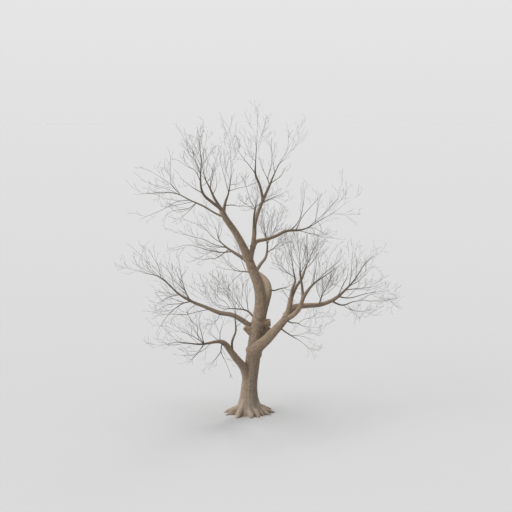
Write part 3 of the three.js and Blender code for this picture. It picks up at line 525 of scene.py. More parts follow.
LIMB_TAPER = 0.8
COLLAR = 0.55  # how much a limb swells at its foot
COLLAR_LENGTH = 1.6  # in foot radii
TWIG_TIP = 0.002  # radius where a stem or an arm ends
LEAST_RADIUS = 0.001  # added all along, so that no stem thins out altogether
SLIM = 1.0  # how fast a stem thins out among its twigs; above 1 it does so sooner


def limb_radius(limb, share):
    """Radius of a limb at a share of its length."""
    shaft = limb["tip"] + (limb["foot"] - limb["tip"]) * (1 - share) ** LIMB_TAPER
    return shaft * (1 + COLLAR * np.exp(-share * limb["length"] / (COLLAR_LENGTH * limb["foot"])))


def wood_radius(limb, places):
    """Radius of a limb at places on it, where its stem thins out among the twigs."""
    runs = len(limb["runs"])
    bare = limb.get("bare", runs)
    among = np.clip((places - bare) / max(runs - bare, 1), 0, 1)
    return limb_radius(limb, places / runs) * (1 - among) ** limb["slim"] + LEAST_RADIUS


by_name = {"trunk": TRUNK}
for limb in LIMBS + STUBS:
    start = point_at(by_name[limb["on"]]["path"], limb["at"])
    limb["path"] = path_along(start, limb["runs"])
    limb["length"] = path_length(limb["path"])
    limb.setdefault("tip", TWIG_TIP)
    limb.setdefault("slim", SLIM)
    by_name[limb["name"]] = limb
metres = sum(limb["length"] for limb in LIMBS)
print(len(LIMBS), "limbs and", len(STUBS), "stubs,", round(metres), "m in all")

# %% [markdown]
# ## A bar to bend
# All of the wood is bent from one straight bar of sixteen sides, a metre long and a metre in
# radius. It is a disc turned to face +X and extruded ring by ring. A tube could also come from a
# curve's own bevel, but a bar of mesh keeps its rings, so it can be bent, joined and remeshed.

# %% Make the straight bar
BAR_SIDES = 16
BAR_RINGS = 48


def select_only(*objects):
    """Selects these objects and nothing else."""
    bpy.ops.object.select_all(action="DESELECT")
    for item in objects:
        item.select_set(True)
    bpy.context.view_layer.objects.active = objects[-1]


bpy.ops.object.select_all(action="DESELECT")
bpy.ops.mesh.primitive_circle_add(
    vertices=BAR_SIDES,
    radius=1.0,
    fill_type="NGON",
    rotation=(0, math.radians(90), 0),
)
bar = bpy.context.object
bar.name = "straight_bar"
bpy.ops.object.transform_apply(location=False, rotation=True, scale=True)
bpy.ops.object.mode_set(mode="EDIT")
bpy.ops.mesh.select_all(action="SELECT")
for _ in range(BAR_RINGS):
    bpy.ops.mesh.extrude_region_move(TRANSFORM_OT_translate={"value": (1 / BAR_RINGS, 0, 0)})
bpy.ops.mesh.select_all(action="SELECT")
bpy.ops.mesh.normals_make_consistent(inside=False)
bpy.ops.object.mode_set(mode="OBJECT")
print("bar", len(bar.data.vertices), "vertices")

# %% [markdown]
# A Curve modifier lays a copy of the bar along a path. The path is a curve object whose points
# carry the limb's radius, which swells and thins the bar as it goes. The modifier is applied and
# the curve is thrown away, so only the bent mesh is left.


# %% Bend the bar
def bend_bar(name, points, radii):
    """A copy of the bar that follows the points, with their radii."""
    guide = bpy.data.curves.new(name + "_guide", "CURVE")
    guide.dimensions = "3D"
    guide.twist_mode = "MINIMUM"
    guide.use_radius = True
    guide.use_stretch = True
    guide.use_deform_bounds = True
    guide.use_path = True
    line = guide.splines.new("POLY")
    line.points.add(len(points) - 1)
    for spot, point, radius in zip(line.points, points, radii):
        spot.co = (*point, 1)
        spot.radius = radius
    guide_object = bpy.data.objects.new(name + "_guide", guide)
    bpy.context.collection.objects.link(guide_object)
    limb = bar.copy()
    limb.data = bar.data.copy()
    limb.name = name
    bpy.context.collection.objects.link(limb)
    select_only(limb)
    bend = limb.modifiers.new("bend", "CURVE")
    bend.object = guide_object
    bend.deform_axis = "POS_X"
    bpy.ops.object.modifier_apply(modifier="bend")
    bpy.data.objects.remove(guide_object)
    bpy.data.curves.remove(guide)
    return limb


def limb_line(limb, start=0.0, end=None):
    """Points and radii along a limb, from one place to another."""
    runs = len(limb["runs"])
    places = np.linspace(start, runs if end is None else end, BAR_RINGS + 1)
    points = points_at(limb["path"], places)
    if limb is TRUNK:
        return points, trunk_radius(places / runs, points[:, 2])
    return points, wood_radius(limb, places)


print("a bent bar follows", BAR_RINGS + 1, "places")

# %% [markdown]
# ## Random numbers
# Nothing in the tree is left to chance: every random number comes from a seed, by a small mixing
# rule that gives the same numbers in every run. It works on whole arrays of seeds at once.


# %% Seeds and draws
def child_seeds(seeds, numbers):
    """The seeds of parents' children, by their numbers."""
    seeds = np.asarray(seeds, dtype=np.uint32)
    numbers = np.asarray(numbers, dtype=np.uint32)
    return seeds * np.uint32(2654435761) + (numbers + np.uint32(1)) * np.uint32(40503)


class Draws:
    """Even random numbers from 0 to 1, one for each seed at every call."""

    def __init__(self, seeds):
        self.state = np.asarray(seeds, dtype=np.uint32)

    def __call__(self):
        self.state = self.state + np.uint32(0x6D2B79F5)
        mixed = (self.state ^ (self.state >> 15)) * (self.state | 1)
        mixed = (mixed + (mixed ^ (mixed >> 7)) * (mixed | 61)) ^ mixed
        return (mixed ^ (mixed >> 14)) / 4294967296

    def one(self):
        """The next number of a single seed."""
        return float(self()[0])


print("first draws", [round(float(x), 4) for x in Draws([1, 2, 3])()])

# %% [markdown]
# ## The thick wood
# Trunk, roots, stubs and the heavy boughs are one piece of wood with no seams, so their bars are
# joined and voxel remeshed into one skin. Boolean unions would keep a sharp crease where limbs
# meet. The remesh gives even faces, and a little smoothing then rounds the crotches as growing
# wood does.

# %% Join the thick wood
HEAVY = ["low_left_bough", "mid_left_bough", "right_bough", "right_outer_bough",
         "right_middle_bough", "back_bough", "left_leader", "right_leader"]
UNDERGROUND = 0.15  # cut off again below
VOXEL = 0.012  # edge of the remesh's voxels
ROUNDING = 0.5  # how far each step moves a vertex towards its neighbours' middle
ROUNDING_STEPS = 8
SMALL_ROOTS = 9
SMALL_ROOT_SHARES = (0.84, 0.75)  # of a main root's reach and thickness
ROOT_STRAY = 0.5  # share of the step between roots in which a root may stand
ROOT_REACHES = (0.88, 0.16)  # least share of the reach, and how much more there may be
ROOT_GIRTHS = (0.85, 0.3)  # the same for the thickness
ROOT_SWAY = 4  # degrees that a root winds to each side
ROOT_WINDS = 7  # how often it does so: the turn of the wave, in radians, along the whole root
ROOT_TIP = 0.004  # least radius of a root


def heavy_bars():
    """The bent bars that make up the thick wood."""
    points, radii = limb_line(TRUNK)
    below = points[0] - (0, 0, UNDERGROUND)
    bars = [bend_bar("trunk_bar", [below, *points], [radii[0], *radii])]
    for limb in STUBS + [by_name[name] for name in HEAVY]:
        bars.append(bend_bar(limb["name"] + "_bar", *limb_line(limb, end=limb.get("bare"))))
    return bars


def root_bars():
    """The ribs of the main roots, and small roots between them."""
    draw = Draws([ROOT_SEED])
    bars = []
    for i in range(ROOT_COUNT + SMALL_ROOTS):
        main = i < ROOT_COUNT
        step = 360 / (ROOT_COUNT if main else SMALL_ROOTS)
        length_share, girth_share = (1, 1) if main else SMALL_ROOT_SHARES
        bearing = (i + ROOT_STRAY * (draw.one() - 0.5)) * step
        reach = ROOT_REACH * (ROOT_REACHES[0] + ROOT_REACHES[1] * draw.one()) * length_share
        thickness = (ROOT_GIRTHS[0] + ROOT_GIRTHS[1] * draw.one()) * girth_share
        stations = []
        for out, height, radius in ROOT_RIB:
            turned = bearing + ROOT_SWAY * math.sin(ROOT_WINDS * out + i)
            east, north, _ = run_vector((out * reach, turned, 0))
            stations.append((east, north, height * ROOT_TOP, radius * thickness))
        line = points_at(np.array(stations), np.linspace(0, len(ROOT_RIB) - 1, BAR_RINGS + 1))
        bars.append(bend_bar(f"root_bar_{i}", line[:, :3], np.maximum(line[:, 3], ROOT_TIP)))
    return bars


wood_parts = heavy_bars() + root_bars()
select_only(*wood_parts)
bpy.ops.object.join()
wood = bpy.context.object
wood.name = "bark_trunk"
wood.data.name = "bark_trunk"
wood.data.remesh_voxel_size = VOXEL
bpy.ops.object.voxel_remesh()
rounding = wood.modifiers.new("rounding", "SMOOTH")
rounding.factor = ROUNDING
rounding.iterations = ROUNDING_STEPS
bpy.ops.object.modifier_apply(modifier="rounding")
print("thick wood", len(wood.data.polygons), "faces")

# %% [markdown]
# ## Places on the bark
# Bark is drawn along the wood, so its furrows need to know which way each limb runs. Each vertex
# takes its place from the nearest limb: two coordinates across the limb and one along it, as if
# the limb were straight. The nearest limb is the one whose middle line is fewest radii away. It
# takes the limb's radius there too, and the limb's painted shade, which darkens limbs in shade.

# %% Find places on the bark
Line = namedtuple("Line", "points tangents sides radii starts tones")
LIMB_SHIFT = 5.9  # metres between the patterns of two limbs
LEAVES = 0.4  # place on a limb where its own bark begins
NEIGHBOURS = 10  # points of the middle lines that are weighed for each vertex
STEEP = 0.9  # upward part of a direction, past which it counts as upright
SHADED_LIMBS = {
    # share of the full colour that a limb keeps; the rest is painted shade, as the limb lies in
    # shade
    "back_bough": 0.68,
    "back_riser": 0.7,
    "mid_left_bough": 0.35,
    "mid_left_sprig": 0.5,
    "mid_left_limb": 0.4,
}
UP = np.array((0.0, 0.0, 1.0))
EAST = np.array((1.0, 0.0, 0.0))


def make_line(points, radii, number, tone=1.0):
    """A limb's middle line, with a tangent and a side at each point."""
    steps = np.diff(points, axis=0)
    tangents = np.vstack([steps[:1], (steps[1:] + steps[:-1]) / 2, steps[-1:]])
    tangents /= np.linalg.norm(tangents, axis=1)[:, None]
    sides = []
    side = UP if abs(tangents[0][2]) < STEEP else EAST
    for tangent in tangents:
        side = side - tangent * side.dot(tangent)
        side = side / np.linalg.norm(side)
        sides.append(side)
    starts = np.concatenate([[0], np.cumsum(np.linalg.norm(steps, axis=1))])
    starts = starts + LIMB_SHIFT * number
    # share of the full colour that the limb keeps; the rest of the mix is painted shade
    tones = np.full(len(points), tone)
    return Line(points, tangents, np.array(sides), np.asarray(radii), starts, tones)


def bark_places(vertices, lines):
    """Each vertex's place on the nearest straightened limb, its radius, and what painted shade
    leaves of its colour.
    """
    whole = Line(*(np.concatenate(part) for part in zip(*lines)))
    tree = kdtree.KDTree(len(whole.points))
    for i, point in enumerate(whole.points):
        tree.insert(point, i)
    tree.balance()
    nearest = np.empty(len(vertices), dtype=int)
    for i, vertex in enumerate(vertices):
        found = tree.find_n(vertex, NEIGHBOURS)
        nearest[i] = min(found, key=lambda near: near[2] / whole.radii[near[1]])[1]
    out = vertices - whole.points[nearest]
    tangent = whole.tangents[nearest]
    side = whole.sides[nearest]
    over = np.cross(tangent, side)
    ahead = (out * tangent).sum(axis=1)
    places = np.stack([
        (out * side).sum(axis=1),
        (out * over).sum(axis=1),
        whole.starts[nearest] + ahead,
    ], axis=1)
    return places, whole.radii[nearest], whole.tones[nearest]


def vertex_array(mesh, name="position"):
    """The vertices' places or normals as an array."""
    found = np.empty(len(mesh.vertices) * 3, dtype=np.float32)
    if name == "position":
        mesh.vertices.foreach_get("co", found)
    else:
        mesh.vertex_normals.foreach_get("vector", found)
    return found.reshape(-1, 3).astype(float)


heavy_lines = [make_line(*limb_line(TRUNK), 0)]
for number, limb in enumerate(STUBS + [by_name[name] for name in HEAVY], start=1):
    line = limb_line(limb, LEAVES, limb.get("bare"))
    # each line carries its limb's share of the full colour; the rest is painted shade
    heavy_lines.append(make_line(*line, number, SHADED_LIMBS.get(limb["name"], 1.0)))
places, girth, _ = bark_places(vertex_array(wood.data), heavy_lines)
print("places along", round(places[:, 2].min(), 2), "to", round(places[:, 2].max(), 2))

# %% [markdown]
# ## The bark's relief
# Dead bark on an old tree is a net of low ridges that run with the grain, over broad flutes that
# come up from the roots, with a fine grain over both. All three are noise on the straightened
# limb, stretched along it, and each vertex moves along its normal by their sum. A Displace modifier
# could do it only in straight coordinates of its own, and the furrows would not follow a bent
# bough. A noise call takes a point, how fast its octaves fade, how much finer each is, and their
# number. Ridged noise also takes the value that it folds at, and how much each octave leans on
# the last.

# %% Raise the relief
# Depth in metres, and how fine the noise is across the limb and along it
FLUTES = (0.011, 4, 0.7)
RIDGES = (0.004, 15, 5)
GRAIN = (0.0035, 45, 16)
RIDGE_MIDDLE = 1.1  # value of the ridged noise that leaves the surface where it is
FULL_GIRTH = 0.3  # radius of a limb with the full relief
GIRTH_POWER = 0.7  # how fast a thinner limb's relief grows with its radius


def stretched(place, fineness):
    """A place in the measure of one of the noises."""
    _, wide, long = fineness
    across, over, along = place
    return across * wide, over * wide, along * long


def relief(place, radius):
    """How far the bark stands out at a place on a limb of that radius."""
    flutes = noise.fractal(stretched(place, FLUTES), 0.8, 2.0, 2)
    ridges = noise.ridged_multi_fractal(stretched(place, RIDGES), 0.9, 2.1, 3, 1.0, 2.0)
    grain = noise.fractal(stretched(place, GRAIN), 0.7, 2.0, 2)
    share = (min(radius, FULL_GIRTH) / FULL_GIRTH) ** GIRTH_POWER
    return share * (FLUTES[0] * flutes + RIDGES[0] * (ridges - RIDGE_MIDDLE) + GRAIN[0] * grain)


heights = np.array([relief(place, radius) for place, radius in zip(places, girth)])
moved = vertex_array(wood.data) + vertex_array(wood.data, "normal") * heights[:, None]
wood.data.vertices.foreach_set("co", moved.astype(np.float32).ravel())
wood.data.update()
print("relief from", round(heights.min() * 1000, 1), "to", round(heights.max() * 1000, 1), "mm")

# %% [markdown]
# The relief needs its faces where it bends, and few of them on the flats, so the skin is thinned
# by collapsing its least useful edges. Then it is cut flat at the ground and closed there.

# %% Thin and cut the thick wood
WOOD_FACES = 190000
SHARPEST_SMOOTH = 50  # degrees between faces, past which an edge stays sharp

thinning = wood.modifiers.new("thinning", "DECIMATE")
thinning.ratio = WOOD_FACES / (2 * len(wood.data.polygons))  # each face is two triangles
bpy.ops.object.modifier_apply(modifier="thinning")
bpy.ops.object.mode_set(mode="EDIT")
bpy.ops.mesh.select_all(action="SELECT")
bpy.ops.mesh.bisect(plane_co=(0, 0, 0), plane_no=(0, 0, 1), clear_inner=True, use_fill=True)
bpy.ops.object.mode_set(mode="OBJECT")
select_only(wood)
bpy.ops.object.shade_smooth_by_angle(angle=math.radians(SHARPEST_SMOOTH))
lowest = min(vertex.co.z for vertex in wood.data.vertices)
print("thick wood", len(wood.data.polygons), "faces, lowest", lowest)

# %% [markdown]
# ## Parts of a material
# A material made of nodes is easier to read when each small job is a helper: noise that is
# stretched along the limb, a ramp that picks out part of its values, and a mix of two colours.

# %% Helpers for nodes
NOISE_ROUGHNESS = 0.6


def noise_node(graph, source, scale, stretch, detail):
    """Noise on the limb's straightened places, with its streaks along the limb."""
    mapping = graph.nodes.new("ShaderNodeMapping")
    mapping.inputs["Scale"].default_value = (1, 1, stretch)
    texture = graph.nodes.new("ShaderNodeTexNoise")
    texture.inputs["Scale"].default_value = scale
    texture.inputs["Detail"].default_value = detail
    texture.inputs["Roughness"].default_value = NOISE_ROUGHNESS
    graph.links.new(source, mapping.inputs["Vector"])
    graph.links.new(mapping.outputs["Vector"], texture.inputs["Vector"])
    return texture.outputs["Fac"]


def ramp_node(graph, source, low, high):
    """Spreads the values between low and high from 0 to 1."""
    spread = graph.nodes.new("ShaderNodeMapRange")
    spread.inputs["From Min"].default_value = low
    spread.inputs["From Max"].default_value = high
    graph.links.new(source, spread.inputs["Value"])
    return spread.outputs["Result"]


def mix_node(graph, share, first, second):
    """A colour between two colours, each a value or another node's output."""
    mix = graph.nodes.new("ShaderNodeMix")
    mix.data_type = "RGBA"
    graph.links.new(share, mix.inputs["Factor"])
    for socket, colour in ((mix.inputs[6], first), (mix.inputs[7], second)):
        if isinstance(colour, tuple):
            socket.default_value = colour
        else:
            graph.links.new(colour, socket)
    return mix.outputs[2]


print("noise of every size has a roughness of", NOISE_ROUGHNESS)

# %% [markdown]
# ## Bark
# The bark is one material for trunk, boughs and arms. It reads each vertex's place on its limb, so
# its streaks run with the grain everywhere. It reads the limb's radius too, because young bark on
# thin wood is darker than the pale, weathered bark of the trunk, and grey patches come only on the
# thickest wood. Some limbs are darkened with painted shade. Noise of three sizes gives the streaks,
# patches and specks, and the streaks give the fine bumps that the mesh is too coarse for.

# %% Mix the bark
BARK_PALE = (0.308, 0.234, 0.168, 1)
BARK_DARK = (0.146, 0.107, 0.077, 1)
BARK_GREY = (0.300, 0.250, 0.198, 1)
BARK_YOUNG = (0.085, 0.072, 0.054, 1)
# colour of the painted shade on limbs that lie in shade
BARK_PAINTED_SHADE = (0.090, 0.072, 0.052, 1)
AGE_RADII = (0.014, 0.08)  # radii of wholly young and wholly old bark
GREY_RADII = (0.22, 0.42)  # radii where grey patches begin, and where they are fullest
# Fineness of the noise, its stretch along the limb (below 1 is longer), and its detail
STREAKS = (20, 0.4, 4)
PATCHES = (5, 0.6, 3)
SPECKS = (50, 0.6, 2)
# Values of the noise where a colour begins, and where it is full
STREAK_RANGE = (0.3, 0.62)
PATCH_RANGE = (0.3, 0.6)
SPECK_RANGE = (0.5, 0.74)
WOOD_ROUGHNESS = 0.9
WOOD_SHINE = 0.2
BUMP_STRENGTH = 0.6
BUMP_HEIGHT = 0.008

bark = bpy.data.materials.new("weathered_bark")
bark.use_nodes = True
graph = bark.node_tree
surface = graph.nodes["Principled BSDF"]


def attribute(name, output):
    """What a vertex stores under that name."""
    node = graph.nodes.new("ShaderNodeAttribute")
    node.attribute_name = name
    return node.outputs[output]


place = attribute("bark_place", "Vector")
girth = attribute("girth", "Fac")
# share of the full colour that the limb keeps; the rest is painted shade
tone = attribute("tone", "Fac")
streaks = noise_node(graph, place, *STREAKS)
patches = noise_node(graph, place, *PATCHES)
specks = noise_node(graph, place, *SPECKS)
colour = mix_node(graph, ramp_node(graph, streaks, *STREAK_RANGE), BARK_DARK, BARK_PALE)
grey = graph.nodes.new("ShaderNodeMath")
grey.operation = "MULTIPLY"
graph.links.new(ramp_node(graph, patches, *PATCH_RANGE), grey.inputs[0])
graph.links.new(ramp_node(graph, girth, *GREY_RADII), grey.inputs[1])
colour = mix_node(graph, grey.outputs["Value"], colour, BARK_GREY)
colour = mix_node(graph, ramp_node(graph, specks, *SPECK_RANGE), colour, BARK_DARK)
colour = mix_node(graph, ramp_node(graph, girth, *AGE_RADII), BARK_YOUNG, colour)
# painted shade: limbs with a share below 1 darken towards the shade colour
colour = mix_node(graph, tone, BARK_PAINTED_SHADE, colour)
graph.links.new(colour, surface.inputs["Base Color"])
surface.inputs["Roughness"].default_value = WOOD_ROUGHNESS
surface.inputs["Specular IOR Level"].default_value = WOOD_SHINE
bump = graph.nodes.new("ShaderNodeBump")
bump.inputs["Strength"].default_value = BUMP_STRENGTH
bump.inputs["Distance"].default_value = BUMP_HEIGHT
graph.links.new(streaks, bump.inputs["Height"])
graph.links.new(bump.outputs["Normal"], surface.inputs["Normal"])
print("bark has", len(graph.nodes), "nodes")

# %% [markdown]
# ## Dressing a piece
# Every piece of wood stores the places, radii and painted shade that its bark reads, takes the
# material, and is handed to the frame: it rides on the tree's one body, and the frame's nodes that
# it stands for are hidden.


# %% Dress the thick wood
def dress_in_bark(piece, lines):
    """Stores what the bark reads on each vertex, and lays the bark on the piece."""
    mesh = piece.data
    places, girth, tones = bark_places(vertex_array(mesh), lines)
    place = mesh.attributes.new("bark_place", "FLOAT_VECTOR", "POINT")
    place.data.foreach_set("vector", places.astype(np.float32).ravel())
    # each vertex's radius, and its limb's share of the full colour, the rest painted shade
    for name, values in (("girth", girth), ("tone", tones)):
        layer = mesh.attributes.new(name, "FLOAT", "POINT")
        layer.data.foreach_set("value", values.astype(np.float32))
    mesh.materials.clear()
    mesh.materials.append(bark)


def place_piece(piece, slot, *stands_for):
    """Hands a finished piece to the frame."""
    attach(piece, "root")
    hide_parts(*stands_for)


dress_in_bark(wood, heavy_lines)
place_piece(wood, "trunk_bark", "trunk", *[stub["name"] for stub in STUBS], *HEAVY)
print("thick wood dressed")

# %% [markdown]
# ## Slimmer limbs and arms
# Each slimmer limb is one bent bar from its foot, sunk in its parent, to its outermost tip, and
# the main arms of its mass are bars as well. A heavy bough's bar starts where the thick wood ends.
# These meet at narrow angles and small sizes, where a joined skin would not show.

# %% Bend the slimmer limbs
CHILD_SHARE = 0.45  # most that a side twig's radius may be of its parent's
ARM_FOOT = 0.005  # radius of an arm's foot, and what it gains with the arm's length
ARM_SLOPE = 0.009
ARM_THINNING = 1.2  # above 1 an arm thins out sooner
HEAVY_OVERLAP = 0.3  # how far a bar starts inside the thick wood, in runs
SHARPEST_BAR = 60  # degrees between faces, past which a bar's edge stays sharp


def arm_line(limb, arm):
    """Points and radii of one arm."""
    at, runs = arm
    path = path_along(point_at(limb["path"], at), runs)
    foot = min(CHILD_SHARE * wood_radius(limb, at), ARM_FOOT + ARM_SLOPE * path_length(path))
    part = np.linspace(0, 1, BAR_RINGS + 1)
    radii = TWIG_TIP + (foot - TWIG_TIP) * (1 - part) ** ARM_THINNING
    return points_at(path, part * len(runs)), radii


def outer_lines(limb):
    """The lines of a limb beyond the thick wood: its own, and its arms'."""
    start = limb["bare"] - HEAVY_OVERLAP if limb["name"] in HEAVY else 0.0
    return [limb_line(limb, start)] + [arm_line(limb, arm) for arm in limb["arms"]]


CARRIERS = [limb for limb in LIMBS if "arms" in limb]
for limb in CARRIERS:
    lines = outer_lines(limb)
    parts = [bend_bar("part", points, radii) for points, radii in lines]
    select_only(*parts)
    bpy.ops.object.join()
    outer = bpy.context.object
    outer.name = "bark_" + limb["name"]
    outer.data.name = outer.name
    bpy.ops.object.shade_smooth_by_angle(angle=math.radians(SHARPEST_BAR))
    # share of the full colour that the limb keeps; the rest is painted shade
    tone = SHADED_LIMBS.get(limb["name"], 1.0)
    dress_in_bark(outer, [make_line(*line, i, tone) for i, line in enumerate(lines)])
    place_piece(outer, "bough_bark", limb["name"], limb["name"] + "_twigs")
bpy.data.objects.remove(bar)
print(len(CARRIERS), "slimmer limbs with their arms")

# %% [markdown]
# ## How twigs grow
# Twigs follow one rule at every level. Along a parent they come at even steps, turned by the
# golden angle from one to the next, lean away from it, and are shorter towards its tip. Each turns
# up a little and strays a little on the way, and jumps a little aside at every bud. Every twig has
# a seed of its own, so a twig that is left out changes nothing else.

# %% Grow side twigs
Twigs = namedtuple("Twigs", "points radii seeds sprays")
# By level: spacing on the parent, lean from it, length as a share of the parent's length, the
# share of the parent where the first one grows, points along a twig, and sides round it.
GROWTH = [
    (0.31, 34, 0.58, 0.08, 10, 4),
    (0.26, 36, 0.46, 0.15, 8, 3),
    (0.22, 38, 0.36, 0.25, 5, 3),
]
PLACE_SPREAD = 0.5  # share of the step between twigs in which a twig may stand
LEAN_SPREAD = 12  # degrees to each side
GOLDEN_TURN = 137.5
ROLL_SPREAD = 40  # degrees in all
SHOOT = 0.14  # length that every twig has, however short its parent
TIP_LOSS = 0.8  # share of its length that a twig at its parent's tip lacks
LENGTHS = (0.7, 0.5)  # least share of the length, and how much more there may be
LIFT = 0.22  # how much each half of a twig turns up
WANDER = 0.18  # how much it strays to a side
KINK = 0.14  # how far it jumps aside at its buds, as a share of the way between them
TWIG_FOOT = 0.0030  # radius of a twig's foot, and what it gains with its length
TWIG_SLOPE = 0.0044
TWIG_TAPER = 0.8
FINEST = 0.0024  # radius near a twig's tip
UPRIGHT = 0.95  # upward part of a twig's direction, past which it counts as upright


def unit(vectors):
    """The same directions with length 1."""
    return vectors / np.linalg.norm(vectors, axis=-1, keepdims=True)


def leaning(tangents, lean, roll):
    """Directions that lean from tangents by an angle, turned about them by a roll, in degrees."""
    steep = np.abs(tangents[:, 2:]) > UPRIGHT
    flat = np.where(steep, EAST, UP)
    side = unit(np.cross(tangents, flat))
    over = np.cross(side, tangents)
    tilt = np.radians(lean)[:, None]
    turn = np.radians(roll)[:, None]
    return (tangents * np.cos(tilt)
            + side * np.sin(tilt) * np.cos(turn)
            + over * np.sin(tilt) * np.sin(turn))


def side_twigs(parents, level, crowding=1.0):
    """The side twigs of a whole set of parents. Crowding above 1 brings them closer together."""
    spacing, lean, ratio, first, count, _ = GROWTH[level]
    steps = np.diff(parents.points, axis=1)
    sizes = np.linalg.norm(steps, axis=2)
    reached = np.concatenate([np.zeros((len(sizes), 1)), np.cumsum(sizes, axis=1)], axis=1)
    length = reached[:, -1]
    counts = np.maximum(1, np.rint(length * (1 - first) * crowding / spacing)).astype(int)
    owner = np.repeat(np.arange(len(counts)), counts)
    number = np.concatenate([np.arange(each) for each in counts])
    start_roll = 360 * Draws(parents.seeds)()
    seeds = child_seeds(parents.seeds[owner], number)
    draw = Draws(seeds)
    step = number + (1 - PLACE_SPREAD) / 2 + PLACE_SPREAD * draw()
    share = first + (1 - first) * step / counts[owner]
    want = share * length[owner]
    leg = (reached[owner, 1:-1] < want[:, None]).sum(axis=1)
    part = (want - reached[owner, leg]) / sizes[owner, leg]
    foot = parents.points[owner, leg] + steps[owner, leg] * part[:, None]
    tangent = unit(steps[owner, leg])
    parent_radius = (parents.radii[owner, leg] * (1 - part)
                     + parents.radii[owner, leg + 1] * part)
    chance = LENGTHS[0] + LENGTHS[1] * draw()
    reach = SHOOT + ratio * length[owner] * (1 - TIP_LOSS * share) * chance
    tilt = lean + LEAN_SPREAD * (2 * draw() - 1)
    roll = start_roll[owner] + number * GOLDEN_TURN + ROLL_SPREAD * (draw() - 0.5)
    heading = leaning(tangent, tilt, roll)
    corners = [foot]
    for _ in range(2):
        stray = leaning(heading, np.full(len(foot), 90.0), 360 * draw())
        heading = unit(heading + UP * LIFT + stray * WANDER)
        corners.append(corners[-1] + heading * reach[:, None] / 2)
    points = points_at(np.array(corners), np.linspace(0, 2, count)).transpose(1, 0, 2)
    for place in range(1, count):
        kink = leaning(heading, np.full(len(foot), 90.0), 360 * draw())
        points[:, place] += kink * (KINK * draw() * reach / count)[:, None]
    radius = np.minimum(CHILD_SHARE * parent_radius, TWIG_FOOT + TWIG_SLOPE * reach)
    radius = np.maximum(radius, FINEST)
    fade = np.linspace(1, 0, count) ** TWIG_TAPER
    radii = FINEST + (radius[:, None] - FINEST) * fade
    sprays = seeds if level == 0 else parents.sprays[owner]
    return Twigs(points, radii, seeds, sprays)


print(len(GROWTH), "levels of twigs")


# %% [markdown]
# ## Room to grow
# Each mass of twigs keeps to the space round its own stem and arms, and its twigs stay clear of
# the limbs. A twig that would stray nearer to another mass's stem or arms, touch a limb, or reach
# too far outside the frame's box is left out with everything on it.

# %% Test for room
KEEP_AWAY = 0.045  # how much nearer a twig stays to its own mass's lines than to another's
LIMB_CLEAR = 0.02  # least gap between a twig and a limb
LOWEST = 0.15  # height that no twig goes below
SPARE = 0.25  # how far a twig may reach outside the frame's box
LINE_STEP = 0.05  # most that two places on a mass's lines may be apart


def search_tree(points):
    """A tree that finds the nearest of the points quickly."""
    tree = kdtree.KDTree(len(points))
    for i, point in enumerate(points):
        tree.insert(point, i)
    tree.balance()
    return tree


def dense(points):
    """The same line with places at most a step apart."""
    whole = [points[:1]]
    for start, end in zip(points[:-1], points[1:]):
        steps = math.ceil(np.linalg.norm(end - start) / LINE_STEP)
        part = (np.arange(steps) + 1)[:, None] / steps
        whole.append(start + (end - start) * part)
    return np.concatenate(whole)


box_low = np.array(cad_box[0]) - SPARE
box_low[2] = LOWEST
box_high = np.array(cad_box[1]) + SPARE
bare_lines = [limb_line(limb, end=limb.get("bare")) for limb in [TRUNK] + LIMBS + STUBS]
limb_points = np.concatenate([points for points, _ in bare_lines])
limb_radii = np.concatenate([radii for _, radii in bare_lines])
limb_tree = search_tree(limb_points)
mass_lines = [[limb_line(limb, limb["bare"])] + [arm_line(limb, arm) for arm in limb["arms"]]
              for limb in CARRIERS]
mass_places = [np.concatenate([dense(points) for points, _ in lines]) for lines in mass_lines]
own_trees = [search_tree(places) for places in mass_places]
other_trees = [
    search_tree(np.concatenate(mass_places[:i] + mass_places[i + 1:]))
    for i in range(len(mass_places))
]


def has_room(points, radius, mass):
    """Whether a twig of the mass stays in its space and off the limbs."""
    if (points < box_low).any() or (points > box_high).any():
        return False
    for point in points[1:]:
        _, near, distance = limb_tree.find(point)
        if distance < limb_radii[near] + radius + LIMB_CLEAR:
            return False
        if other_trees[mass].find(point)[2] < own_trees[mass].find(point)[2] + KEEP_AWAY:
            return False
    return True


def with_room(twigs, mass):
    """The twigs that have room."""
    keep = np.array([has_room(points, radii[0], mass)
                     for points, radii in zip(twigs.points, twigs.radii)], dtype=bool)
    return Twigs(*(part[keep] for part in twigs))


print(len(limb_points), "places on limbs and", sum(map(len, mass_places)), "in the masses")

# %% [markdown]
# ## Twigs as meshes
# There are far too many twigs to model by hand, so their meshes come from arrays. Every twig of a
# level has the same faces: rings of a few sides round its points, a closed foot, and a tip drawn
# to one point.


# %% Turn twigs into meshes
def twig_faces(count, sides):
    """The triangles of one twig with that many points and sides."""
    faces = [(0, i + 1, i) for i in range(1, sides - 1)]
    for ring in range(count - 2):
        for i in range(sides):
            a, b = ring * sides + i, ring * sides + (i + 1) % sides
            faces += [(a, b, b + sides), (a, b + sides, a + sides)]
    last = (count - 2) * sides
    tip = last + sides
    return np.array(faces + [(last + i, last + (i + 1) % sides, tip) for i in range(sides)])


def twig_vertices(twigs, sides):
    """The vertices of every twig, ring by ring, with the tip last."""
    points, radii = twigs.points, twigs.radii
    tangents = np.empty_like(points)
    tangents[:, 0] = points[:, 1] - points[:, 0]
    tangents[:, 1:-1] = points[:, 2:] - points[:, :-2]
    tangents[:, -1] = points[:, -1] - points[:, -2]
    tangents = unit(tangents)
    whole = unit(points[:, -1] - points[:, 0])
    steep = np.abs(whole[:, 2:]) > STEEP
    side = unit(np.cross(whole, np.where(steep, EAST, UP)))[:, None]
    over = unit(np.cross(tangents, side))
    across = np.cross(over, tangents)
    turns = np.arange(sides) * 2 * math.pi / sides
    rings = (points[:, :-1, None]
             + across[:, :-1, None] * np.cos(turns)[:, None] * radii[:, :-1, None, None]
             + over[:, :-1, None] * np.sin(turns)[:, None] * radii[:, :-1, None, None])
    flat = rings.reshape(len(points), -1, 3)
    return np.concatenate([flat, points[:, -1:]], axis=1)


